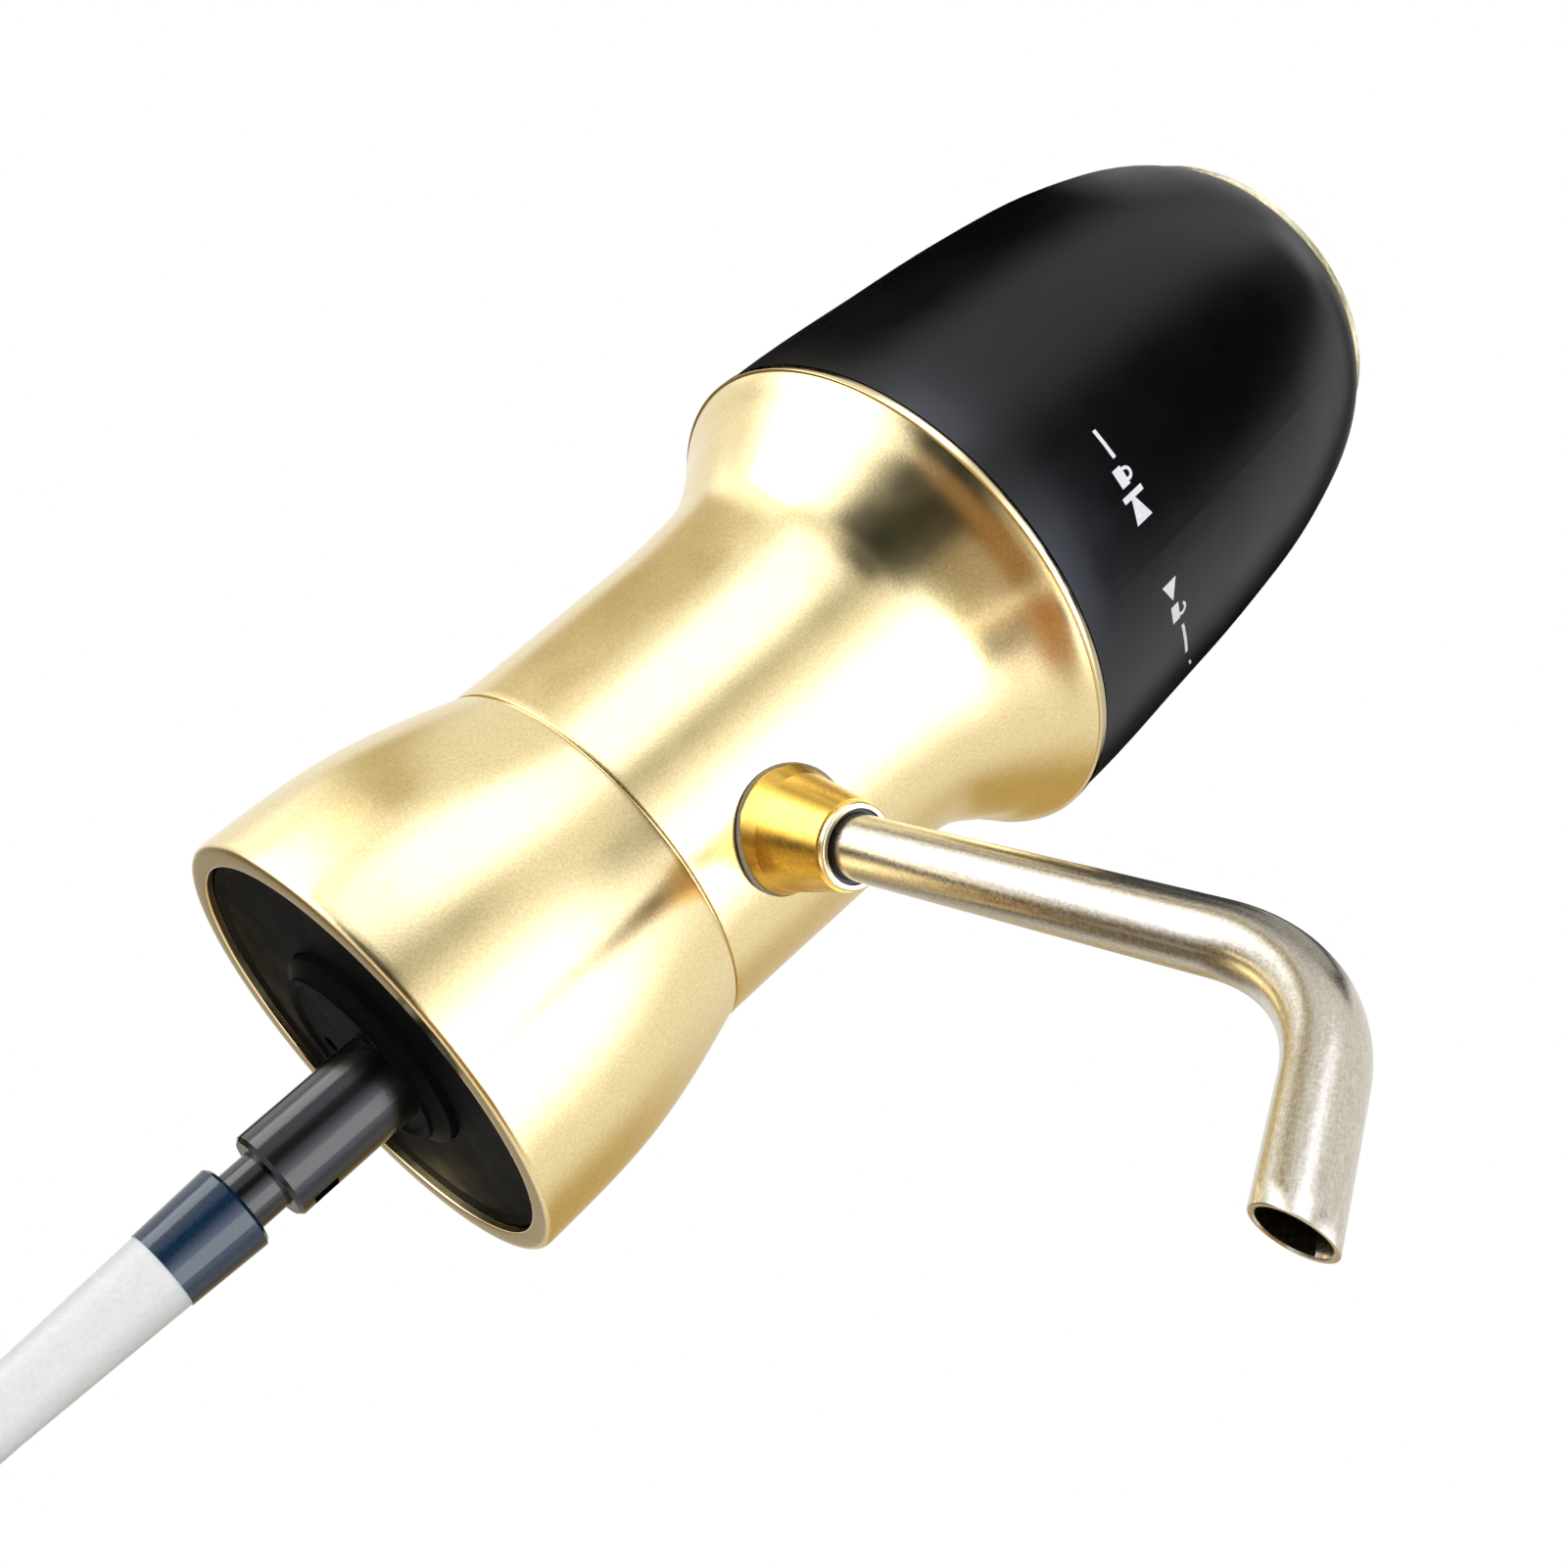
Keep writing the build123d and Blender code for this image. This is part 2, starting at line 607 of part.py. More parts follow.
with BuildPart() as motor_terminals:
    with BuildSketch(Plane.XY.offset(can_high - end_cap_height / 2)):
        with Locations((terminal_place, 0), (-terminal_place, 0)):
            Rectangle(terminal_thickness, terminal_width)
    extrude(amount=end_cap_height + terminal_height / 2)
write(motor_terminals, "motor_terminals")

# Rotor with its shaft, and the cam below it
armature_radius = 6.6
armature_height = 4.6
armature_slot = 1.2
commutator_radius = 2.2
commutator_height = 0.9
armature_low = magnet_low + (magnet_height - armature_height) / 2
with BuildPart() as motor_rotor:
    turned(*disc(shaft_radius, cam_low, can_high + end_cap_height / 2))
    turned(*disc(armature_radius, armature_low, armature_low + armature_height))
    turned(*disc(commutator_radius, armature_low + armature_height,
                 armature_low + armature_height + commutator_height))
    with BuildSketch(Plane.XY.offset(armature_low)) as slots:
        with PolarLocations(armature_radius, 3):
            Rectangle(armature_radius, armature_slot)
    extrude(slots.sketch, amount=armature_height, mode=Mode.SUBTRACT)
write(motor_rotor, "motor_rotor")

cam_throw = 1.2
with BuildPart() as eccentric_cam:
    with BuildSketch(Plane.XY.offset(cam_low)):
        with Locations((cam_throw, 0)):
            Circle(cam_radius)
        Circle(shaft_radius + seat_clearance, mode=Mode.SUBTRACT)
    extrude(amount=cam_height)
write(eccentric_cam, "eccentric_cam")

# Deck that closes the bowl, with the bayonet ring that the cap twists onto
deck_thickness = 2.0
deck_high = deck_low + deck_thickness
deck_radius = between(deck_low, body_heights, body_radii) - shell_wall - gap
deck_bore = can_radius + 2 * gap
deck_head_radius = 1.9
deck_head_height = 1.1
pillar_radius = 2.4
bayonet_inner = 25.0
bayonet_wall = 1.5
bayonet_height = 7.0
claw_thickness = 1.6
claw_span = 28
claw_count = 3
lug_half_span = 4
lug_to_claw = 3
lug_height = 2.8
lug_low_gap = 1.8
cap_gap = gap
cap_low = rim_height + cap_gap
cap_wall = 1.4
lug_low = cap_low + lug_low_gap
claw_low = lug_low + lug_height + gap + gap / 2
bayonet_radius = bayonet_inner + bayonet_wall
cap_foot_radius = rim_radius - gap / 2
lug_inner = bayonet_radius + gap
claw_radius = cap_foot_radius - cap_wall - 2 * gap
claw_start = lug_half_span + lug_to_claw


with BuildPart() as bayonet_deck:
    turned(*disc(deck_radius, deck_low, deck_high, deck_bore))
    turned(*disc(bayonet_radius, deck_high, deck_high + bayonet_height, bayonet_inner))
    arc_block(bayonet_radius - bayonet_wall / 2, claw_radius, claw_low, claw_low + claw_thickness,
              claw_start, claw_span, claw_count)
    post(pump_screw_spots, pillar_radius, motor_low, deck_low)
    post(pump_screw_spots, pump_screw_core + seat_clearance, motor_low - overrun, deck_low - overrun,
         mode=Mode.SUBTRACT)
    post(deck_screw_spots, deck_screw_core + seat_clearance, deck_low - overrun, deck_high + overrun,
         mode=Mode.SUBTRACT)
    post(deck_screw_spots, deck_head_radius + seat_clearance, deck_high - deck_head_height,
         deck_high + overrun, mode=Mode.SUBTRACT)
write(bayonet_deck, "bayonet_deck")

screw_slot = 0.5
with BuildPart() as pump_screws:
    screws(pump_screw_spots, pump_screw_head, pump_screw_core, frame_roof - pump_screw_head_height,
           frame_roof, deck_low - 2 * overrun, screw_slot)
write(pump_screws, "pump_screws")

with BuildPart() as deck_screws:
    screws(deck_screw_spots, deck_head_radius, deck_screw_core, deck_high, deck_high - deck_head_height,
           ledge_low, screw_slot)
write(deck_screws, "deck_screws")

# Brass rings that bring the current down through the turning joint
track_height = 0.4
track_width = 1.6
inner_track = 12.4
outer_track = 17.2
with BuildPart() as contact_rings:
    for track in (inner_track, outer_track):
        turned(*disc(track + track_width, deck_high, deck_high + track_height, track))
write(contact_rings, "contact_rings")

# Heights below the crown: roof, guide plate, switch, board and the holder's top plate
crown_wall = 1.2
guide_room = 2.8
guide_thickness = 1.2
switch_room = 1.2
switch_height = 3.0
board_thickness = 1.2
top_thickness = 1.8
roof_low = crown_height - crown_wall
guide_high = roof_low - guide_room
guide_low = guide_high - guide_thickness
switch_high = guide_low - switch_room
board_high = switch_high - switch_height
top_high = board_high - board_thickness
top_low = top_high - top_thickness

# Battery holder: foot, fluted column and top plate, with the cells filling the room between them
foot_low = deck_high + track_height + 2 * gap
foot_thickness = 1.8
foot_high = foot_low + foot_thickness
foot_radius = bayonet_inner - 3 * gap
cell_radius = 5.25
cell_ring = 11.4
cell_nub = 1.2
cell_nub_radius = 1.9
cell_count = 6
plate_thickness = 0.4
spring_height = 2.0
column_radius = 8.0
cell_room = gap
stack_low = foot_high + plate_thickness
stack_high = top_low - plate_thickness
cell_body = stack_high - stack_low - spring_height - cell_nub
top_radius = 19.4
cell_spots = polar_spots(cell_ring, cell_count)
tie_screw_core = 1.3
tie_screw_head = 2.6
tie_screw_head_height = 1.2
tie_screw_length = 9.0
with BuildPart() as battery_holder:
    turned(*disc(foot_radius, foot_low, foot_high))
    turned(*disc(column_radius, foot_high, top_low))
    post(cell_spots, cell_radius + cell_room, foot_high, top_low, mode=Mode.SUBTRACT)
    post([(0, 0)], tie_screw_core + seat_clearance, top_low - tie_screw_length - overrun, top_low + overrun,
         mode=Mode.SUBTRACT)
write(battery_holder, "battery_holder")

with BuildPart() as contact_feet:
    with BuildSketch(Plane.XY.offset(deck_high + track_height + seat_clearance)):
        with Locations((inner_track + track_width / 2, 0), (outer_track + track_width / 2, 0)):
            Rectangle(track_width - gap, 2 * track_width)
    extrude(amount=foot_low - deck_high - track_height - seat_clearance)
write(contact_feet, "contact_feet")

board_screw_ring = 12.8
board_screw_core = 0.9
board_screw_spots = polar_spots(board_screw_ring, 2)
notch_width = 3.0
rib_width = 2.2
rib_depth = 1.6
rib_turn = 30
rib_inner = top_radius - rib_depth
with BuildPart() as holder_top:
    turned(*disc(top_radius, top_low, top_high))
    post([(0, 0)], tie_screw_core + seat_clearance, top_low - overrun, top_high + overrun,
         mode=Mode.SUBTRACT)
    post(board_screw_spots, board_screw_core + seat_clearance, top_low - overrun, top_high + overrun,
         mode=Mode.SUBTRACT)
    with BuildSketch(Plane.XY.offset(top_low)) as notches:
        with PolarLocations(top_radius, 2, start_angle=rib_turn):
            Rectangle(2 * (rib_depth + gap), notch_width)
    extrude(notches.sketch, amount=top_thickness, mode=Mode.SUBTRACT)
write(holder_top, "holder_top")

with BuildPart() as battery_cells:
    for step, spot in enumerate(cell_spots):
        nub_up = step % 2 == 0
        low = stack_low + spring_height if nub_up else stack_low + cell_nub
        nub_low = low + cell_body if nub_up else stack_low
        post([spot], cell_radius, low, low + cell_body)
        post([spot], cell_nub_radius, nub_low, nub_low + cell_nub)
write(battery_cells, "battery_cells")

# Bent nickel strips that join the cells, three below and three above
strip_width = 5.0
strip_length = 11.0
lower_strip_turn = full_turn / cell_count / 2
upper_strip_turn = lower_strip_turn + full_turn / cell_count
with BuildPart() as contact_plates:
    for low, start in ((foot_high, lower_strip_turn), (stack_high, upper_strip_turn)):
        with BuildSketch(Plane.XY.offset(low)) as strips:
            with PolarLocations(cell_ring, 3, start_angle=start):
                Rectangle(strip_width, strip_length)
        extrude(strips.sketch, amount=plate_thickness)
write(contact_plates, "contact_plates")

# Springs under, or over, the flat end of each cell
spring_wire = 0.4
spring_radius = 2.4
spring_turns = 2
spring_pitch = (spring_height - 2 * spring_wire) / spring_turns
with BuildPart() as cell_springs:
    for step, spot in enumerate(cell_spots):
        low = stack_low if step % 2 == 0 else stack_high - spring_height
        coil(spring_radius, spring_wire, spring_pitch, spring_turns, low + spring_wire, centre=spot)
write(cell_springs, "cell_springs")

# Switch board on the holder's top
board_radius = 15.5
board_screw_head = 1.7
board_screw_head_height = 1.0
with BuildPart() as switch_board:
    turned(*disc(board_radius, top_high, board_high, tie_screw_head + gap))
    post(board_screw_spots, board_screw_core + seat_clearance, top_high - overrun, board_high + overrun,
         mode=Mode.SUBTRACT)
write(switch_board, "switch_board")

# Screw through the board's middle hole that ties the top plate to the column
with BuildPart() as tie_screw:
    screws([(0, 0)], tie_screw_head, tie_screw_core, top_high + tie_screw_head_height, top_high,
           top_low - tie_screw_length, screw_slot)
write(tie_screw, "tie_screw")

with BuildPart() as board_screws:
    screws(board_screw_spots, board_screw_head, board_screw_core, board_high + board_screw_head_height,
           board_high, top_low + gap, screw_slot)
write(board_screws, "board_screws")

# Push switch bridging the tie screw, and its plunger
switch_side = 7.4
plunger_radius = 1.6
plunger_rise = 1.0
button_travel = 1.0
plunger_low = board_high + 2 * gap + button_travel
with BuildPart() as push_switch:
    with BuildSketch(Plane.XY.offset(board_high)):
        Rectangle(switch_side, switch_side)
    extrude(amount=switch_height)
    post([(0, 0)], plunger_radius + run_clearance, board_high + gap, switch_high + overrun,
         mode=Mode.SUBTRACT)
write(push_switch, "push_switch")

with BuildPart() as switch_plunger:
    post([(0, 0)], plunger_radius, plunger_low, switch_high + plunger_rise)
write(switch_plunger, "switch_plunger")

# Cap: black shell that twists on and lifts off, with lugs, drive ribs and posts inside
button_radius = 17.0
crown_opening = button_radius + gap
cap_height_shares = (0, 0.15, 0.3, 0.45, 0.6, 0.72, 0.82, 0.91, 1)
cap_swell_shares = (1, 0.98, 0.92, 0.865, 0.775, 0.67, 0.52, 0.335, 0)
cap_heights = [cap_low + (crown_height - cap_low) * share for share in cap_height_shares]
cap_radii = [crown_radius + (cap_foot_radius - crown_radius) * share for share in cap_swell_shares]
guide_radius = between(guide_high, cap_heights, cap_radii) - cap_wall - gap
cap_post_radius = 1.7
cap_screw_core = 0.9
cap_screw_head = 1.6
cap_screw_head_height = 0.9
cap_post_ring = guide_radius - cap_screw_core - 2 * gap
cap_post_spots = polar_spots(cap_post_ring, 3)
rib_high = guide_low - gap
rib_low = top_low - 3 * top_thickness
rib_outer = between(rib_high, cap_heights, cap_radii) - cap_wall / 2
roof_edge_radius = between(roof_low, cap_heights, cap_radii) - cap_wall / 2
with BuildPart() as cap_shell:
    drawn_shell(cap_heights, cap_radii, cap_wall)
    turned(*disc(crown_radius - cap_wall / 2, roof_low, crown_height, crown_opening))
    turned((crown_radius - cap_wall, roof_low), (roof_edge_radius, roof_low),
           (crown_radius - cap_wall / 2, crown_height), (crown_radius - cap_wall, crown_height))
    arc_block(lug_inner, cap_foot_radius - cap_wall / 2, lug_low, lug_low + lug_height,
              -lug_half_span, 2 * lug_half_span, claw_count)
    post(cap_post_spots, cap_post_radius, guide_high, roof_low)
    post(cap_post_spots, cap_screw_core + seat_clearance, guide_high - overrun, roof_low - gap,
         mode=Mode.SUBTRACT)
    with BuildSketch(Plane.XY.offset(rib_low)) as ribs:
        with PolarLocations((rib_inner + rib_outer) / 2, 2, start_angle=rib_turn):
            Rectangle(rib_outer - rib_inner, rib_width)
    extrude(ribs.sketch, amount=rib_high - rib_low)
write(cap_shell, "cap_shell")

# Gold ring on the crown
top_ring_height = 1.6
top_ring_chamfer = 0.3
top_ring_radius = crown_radius - gap
with BuildPart() as top_ring:
    turned(*disc(top_ring_radius, crown_height, crown_height + top_ring_height, crown_opening))
    ring_edges = top_ring.edges().filter_by(GeomType.CIRCLE).group_by(Axis.Z)[-1]
    chamfer(ring_edges, length=top_ring_chamfer)
write(top_ring, "top_ring")

# Guide plate under the crown, held by three screws
stem_radius = 2.4
with BuildPart() as button_guide:
    turned(*disc(guide_radius, guide_low, guide_high, stem_radius + run_clearance))
    post(cap_post_spots, cap_screw_core + seat_clearance, guide_low - overrun, guide_high + overrun,
         mode=Mode.SUBTRACT)
write(button_guide, "button_guide")

with BuildPart() as guide_screws:
    screws(cap_post_spots, cap_screw_head, cap_screw_core, guide_low - cap_screw_head_height, guide_low,
           roof_low - 2 * gap, screw_slot)
write(guide_screws, "guide_screws")

# Button: gold dished disc with a flange below the crown and a stem down to the switch
flange_thickness = 1.1
button_skin = 1.4
button_rise = 1.7
button_crown = 0.9
button_round = 0.6
flange_high = roof_low - gap
flange_low = flange_high - flange_thickness
flange_inner = button_radius - 2 * button_skin
flange_radius = cap_post_ring - cap_post_radius - gap
button_edge_height = crown_height + button_rise
stem_low = switch_high + plunger_rise + gap
with BuildPart() as button:
    with BuildSketch(Plane.XZ) as section:
        with BuildLine():
            Line((button_radius, flange_high), (button_radius, button_edge_height))
            ThreePointArc((button_radius, button_edge_height),
                          (button_radius / 2, button_edge_height + button_crown * 3 / 4),
                          (0, button_edge_height + button_crown))
            Polyline((0, button_edge_height + button_crown), (0, flange_high), (button_radius, flange_high))
        make_face()
    revolve(section.sketch, axis=Axis.Z)
    turned(*disc(flange_radius, flange_low, flange_high, flange_inner))
    turned(*disc(flange_inner, flange_low, button_edge_height - button_skin), mode=Mode.SUBTRACT)
    post([(0, 0)], stem_radius, stem_low, button_edge_height)
    whole_rounds = button.edges().filter_by(lambda edge: edge.is_closed)
    fillet(whole_rounds.sort_by(Axis.Z)[-1], radius=button_round)
write(button, "button")

# Return spring between the guide plate and the button
return_wire = 0.5
return_radius = 5.2
return_turns = 3
return_high = button_edge_height - button_skin
return_pitch = (return_high - guide_high - 2 * return_wire) / return_turns
with BuildPart() as button_spring:
    coil(return_radius, return_wire, return_pitch, return_turns, guide_high + return_wire)
write(button_spring, "button_spring")
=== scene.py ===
import math
import bmesh
import bpy
import numpy as np
from mathutils import Matrix, Vector
from mathutils.bvhtree import BVHTree


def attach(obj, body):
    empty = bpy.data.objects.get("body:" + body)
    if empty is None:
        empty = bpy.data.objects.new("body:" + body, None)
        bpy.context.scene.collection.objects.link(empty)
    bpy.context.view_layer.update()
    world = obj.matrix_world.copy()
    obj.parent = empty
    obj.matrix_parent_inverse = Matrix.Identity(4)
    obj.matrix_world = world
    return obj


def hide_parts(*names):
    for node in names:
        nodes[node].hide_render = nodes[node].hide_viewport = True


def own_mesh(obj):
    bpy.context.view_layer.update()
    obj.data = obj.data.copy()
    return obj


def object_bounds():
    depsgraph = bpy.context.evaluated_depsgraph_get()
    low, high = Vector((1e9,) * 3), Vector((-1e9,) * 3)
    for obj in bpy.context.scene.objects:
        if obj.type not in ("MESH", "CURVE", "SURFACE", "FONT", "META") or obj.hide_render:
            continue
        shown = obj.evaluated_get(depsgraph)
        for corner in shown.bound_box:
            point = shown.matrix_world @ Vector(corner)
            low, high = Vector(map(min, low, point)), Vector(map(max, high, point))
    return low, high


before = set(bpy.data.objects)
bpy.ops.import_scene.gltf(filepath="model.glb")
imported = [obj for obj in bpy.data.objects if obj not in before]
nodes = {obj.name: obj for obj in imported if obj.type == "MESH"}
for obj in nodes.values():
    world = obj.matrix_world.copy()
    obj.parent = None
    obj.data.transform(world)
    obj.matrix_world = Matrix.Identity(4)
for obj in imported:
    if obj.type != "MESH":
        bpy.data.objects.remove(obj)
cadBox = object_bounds()
print("frame loaded:", len(nodes), "nodes")

mm = 0.001  # the object's sizes are written in millimetres, the studio's in metres


def linearColour(hexCode):  # sRGB hex to linear, as shader sockets want it
    channels = [int(hexCode[place:place + 2], 16) / 255 for place in (1, 3, 5)]
    return [c / 12.92 if c <= 0.04045 else ((c + 0.055) / 1.055) ** 2.4 for c in channels] + [1]


def addNode(tree, kind, values=None, links=None, **settings):
    node = tree.nodes.new(kind)
    for name, value in settings.items():
        setattr(node, name, value)
    for socket, value in (values or {}).items():
        node.inputs[socket].default_value = value
    for socket, source in (links or {}).items():
        tree.links.new(source, node.inputs[socket])
    return node


def patternScale(sizeMm):  # texture scale that repeats every sizeMm on objects measured in metres
    return 1 / (sizeMm * mm)


def spots(sizeMm, detail=2.0):  # settings of a noise texture with spots of this size
    return {"Scale": patternScale(sizeMm), "Detail": detail}


def stretched(low, high):  # noise seldom leaves 0.3 to 0.7, so a map range node stretches it from there
    return {"From Min": 0.3, "From Max": 0.7, "To Min": low, "To Max": high}


def tonePair(tones):  # the two colours of a mix node
    return {"A": linearColour(tones[0]), "B": linearColour(tones[1])}


def newMaterial(name, metallic):
    material = bpy.data.materials.new(name)
    material.use_nodes = True
    tree = material.node_tree
    shader = tree.nodes["Principled BSDF"]
    shader.inputs["Metallic"].default_value = metallic
    place = addNode(tree, "ShaderNodeTexCoord").outputs["Object"]
    return material, tree, shader, place


def dress(tree, shader, colour, roughness, relief=None, heightMm=0.0):
    # plugs colour and roughness in, and lets the relief stand out by its height
    tree.links.new(colour, shader.inputs["Base Color"])
    tree.links.new(roughness, shader.inputs["Roughness"])
    if relief:
        raised = addNode(tree, "ShaderNodeBump", {"Strength": 1.0, "Distance": heightMm * mm},
                         {"Height": relief})
        tree.links.new(raised.outputs["Normal"], shader.inputs["Normal"])


def grained(looks):
    # colour and relief follow a fine grain, roughness follows a mottle of its own size
    material, tree, shader, place = newMaterial(looks["name"], looks.get("metallic", 0))
    grain, mottle = [addNode(tree, "ShaderNodeTexNoise", spots(looks[size]), {"Vector": place}).outputs["Fac"]
                     for size in ("grainMm", "mottleMm")]
    tone = addNode(tree, "ShaderNodeMapRange", stretched(0, 1), {"Value": grain}).outputs["Result"]
    colour = addNode(tree, "ShaderNodeMix", tonePair(looks["tones"]), {"Factor": tone}, data_type="RGBA")
    roughness = addNode(tree, "ShaderNodeMapRange", stretched(*looks["roughness"]), {"Value": mottle})
    relief = grain if "heightMm" in looks else None
    dress(tree, shader, colour.outputs["Result"], roughness.outputs["Result"], relief, looks.get("heightMm"))
    if "shine" in looks:
        shader.inputs["Specular IOR Level"].default_value = looks["shine"]
    if "soakMm" in looks:
        shader.inputs["Subsurface Weight"].default_value = looks["soak"]
        shader.inputs["Subsurface Scale"].default_value = looks["soakMm"] * mm
    return material


# Moulded plastic has a slight grain from the mould, plain metal one from rolling, plating or sintering.
# Both are finer than a pixel, so they are drawn as coarse as they need to be to show.
mouldGrain = {"grainMm": 0.4, "mottleMm": 4.0, "heightMm": 0.004}
metalGrain = {"grainMm": 0.3, "mottleMm": 0.3, "heightMm": 0.002, "metallic": 1}

grainedLooks = {
    # aluminium, bead-blasted and anodised champagne gold: blurred reflections with a sandy speckle, which is
    # drawn coarser than the real grit
    "blastedGold": {"name": "blasted_anodised_gold", "tones": ("#EFDDAA", "#E3CC91"),
                    "roughness": (0.20, 0.25), "grainMm": 0.28, "mottleMm": 5.0, "heightMm": 0.004,
                    "metallic": 1},
    # aluminium, smooth and anodised pale gold: an even soft line on the crown
    "paleGold": {"name": "pale_anodised_gold", "tones": ("#E6D8B2", "#F0E4C4"), "roughness": (0.24, 0.28),
                 "grainMm": 3.0, "mottleMm": 3.0, "heightMm": 0.0005, "metallic": 1},
    # moulded ABS under a smooth satin coat: near-black with broad soft grey reflections
    "satinBlack": {"name": "satin_black_coat", "tones": ("#050606", "#060707"), "roughness": (0.26, 0.31),
                   "grainMm": 6.0, "mottleMm": 6.0},
    # ABS from a polished mould: black with clear soft highlights
    "mouldedBlack": {"name": "moulded_black", "tones": ("#050505", "#0A0A0A"), "roughness": (0.13, 0.18),
                     **mouldGrain},
    # ABS from a spark-eroded mould: matt black with hardly any shine
    "dullBlack": {"name": "matt_black_base", "tones": ("#0B0B0B", "#111111"), "roughness": (0.45, 0.55),
                  "shine": 0.02, **mouldGrain},
    # moulded silicone: black, grey or blue with rubbery highlights, the blue from a smoother mould
    "padBlack": {"name": "black_silicone", "tones": ("#050505", "#090909"), "roughness": (0.26, 0.32),
                 **mouldGrain},
    # the collar gasket's grey is set between its white washer and the dark gap line beside it: partly its own
    # colour, partly painted shade
    "padGreyAndShade": {"name": "grey_silicone_and_painted_shade", "tones": ("#787264", "#8A8374"), "roughness": (0.40, 0.50),
                **mouldGrain},
    "blueSleeve": {"name": "blue_silicone", "tones": ("#0C2238", "#12304A"), "roughness": (0.12, 0.17),
                   **mouldGrain},
    # extruded polyethylene: waxy white that soaks up a little light
    "whiteTube": {"name": "white_polyethylene", "tones": ("#E2E1E1", "#EAE9E9"), "roughness": (0.30, 0.38),
                  "shine": 0.2, "soak": 0.3, "soakMm": 1.5, **mouldGrain},
    # extruded silicone: pale and milky
    "clearHose": {"name": "pale_silicone", "tones": ("#D6D1C4", "#E4E0D6"), "roughness": (0.35, 0.45),
                  "soak": 0.4, "soakMm": 1.0, **mouldGrain},
    # moulded acetal: even grey
    "pumpGrey": {"name": "pump_plastic", "tones": ("#3C3D3F", "#4A4B4D"), "roughness": (0.40, 0.50),
                 **mouldGrain},
    # glass-fibre board under solder mask: even green with a soft shine
    "greenBoard": {"name": "solder_mask_green", "tones": ("#144A29", "#1C5B34"), "roughness": (0.25, 0.35),
                   **mouldGrain},
    # pad-printing ink: flat white
    "whiteInk": {"name": "white_pad_print", "tones": ("#E6E8EC", "#F2F4F8"), "roughness": (0.45, 0.55),
                 **mouldGrain},
    # pressed and sintered ferrite: dead dark grey
    "ferrite": {"name": "sintered_ferrite", "tones": ("#201F1F", "#2B2A2A"), "roughness": (0.60, 0.75),
                **mouldGrain},
    # nickel-plated steel: bright and neutral
    "nickelSheet": {"name": "nickel_plate", "tones": ("#BEBCB6", "#D2D0CB"), "roughness": (0.20, 0.32),
                    **metalGrain},
    # zinc-plated steel: cool grey
    "zincScrew": {"name": "zinc_plate", "tones": ("#A3A4A8", "#B9BABD"), "roughness": (0.28, 0.38),
                  **metalGrain},
    # stamped brass: warm yellow
    "stampedBrass": {"name": "stamped_brass", "tones": ("#C49C4B", "#D9B566"), "roughness": (0.22, 0.34),
                     **metalGrain},
    # stacked iron sheet: dull grey
    "laminatedIron": {"name": "laminated_iron", "tones": ("#6F6C68", "#8C8A86"), "roughness": (0.35, 0.50),
                      **metalGrain},
}

turnedGold = {"tones": ("#F3E2B4", "#E8D09A"), "grooveMm": 0.2262, "waver": 0.4, "heightMm": 0.0008,
              "mottleMm": 2.0, "roughness": (0.08, 0.16)}
waveRepeat = math.pi / 10  # a wave texture of scale 1 repeats at this distance


def brightGold():
    # aluminium, diamond-turned edge under clear gold anodising: a hard bright line with faint turning marks,
    # which are drawn coarser than real ones
    material, tree, shader, place = newMaterial("bright_turned_gold", 1)
    scale = patternScale(turnedGold["grooveMm"]) * waveRepeat
    marks = addNode(tree, "ShaderNodeTexWave", {"Scale": scale, "Distortion": turnedGold["waver"]},
                    {"Vector": place}, wave_type="RINGS", rings_direction="Z").outputs["Fac"]
    colour = addNode(tree, "ShaderNodeMix", tonePair(turnedGold["tones"]), {"Factor": marks},
                     data_type="RGBA")
    mottle = addNode(tree, "ShaderNodeTexNoise", spots(turnedGold["mottleMm"]), {"Vector": place})
    roughness = addNode(tree, "ShaderNodeMapRange", stretched(*turnedGold["roughness"]),
                        {"Value": mottle.outputs["Fac"]})
    dress(tree, shader, colour.outputs["Result"], roughness.outputs["Result"], marks, turnedGold["heightMm"])
    return material


collarGold = {"tones": ("#E4BE5C", "#DBB04C"), "lipTones": ("#F3E6BE", "#EAD7A2"), "lipFromMm": 30.6,
              "grainMm": 0.5, "heightMm": 0.0003, "roughness": (0.24, 0.28)}


def platedGold():
    # turned brass under satin gold plating: deep yellow, with a paler polished lip at the spout's end
    material, tree, shader, place = newMaterial("plated_gold", 1)
    noise = addNode(tree, "ShaderNodeTexNoise", spots(collarGold["grainMm"]), {"Vector": place})
    grain = addNode(tree, "ShaderNodeMapRange", stretched(0, 1),
                    {"Value": noise.outputs["Fac"]}).outputs["Result"]
    along = addNode(tree, "ShaderNodeSeparateXYZ", links={"Vector": place}).outputs["X"]
    lip = addNode(tree, "ShaderNodeMath", {1: collarGold["lipFromMm"] * mm}, {0: along},
                  operation="GREATER_THAN")
    body, edge = [addNode(tree, "ShaderNodeMix", tonePair(tones), {"Factor": grain}, data_type="RGBA")
                  for tones in (collarGold["tones"], collarGold["lipTones"])]
    parts = {"Factor": lip.outputs["Value"], "A": body.outputs["Result"], "B": edge.outputs["Result"]}
    colour = addNode(tree, "ShaderNodeMix", links=parts, data_type="RGBA")
    roughness = addNode(tree, "ShaderNodeMapRange", stretched(*collarGold["roughness"]), {"Value": grain})
    dress(tree, shader, colour.outputs["Result"], roughness.outputs["Result"], grain, collarGold["heightMm"])
    return material


spoutSteel = {"tones": ("#BAB19E", "#D6CFC0"), "toneFrom": 0.12, "toneTo": 0.38, "roughness": (0.20, 0.27),
              "lineMm": 0.10, "lineShare": 0.04, "lineHeightMm": 0.003, "grainMm": 0.35, "detail": 3.0,
              "brushing": 0.4}


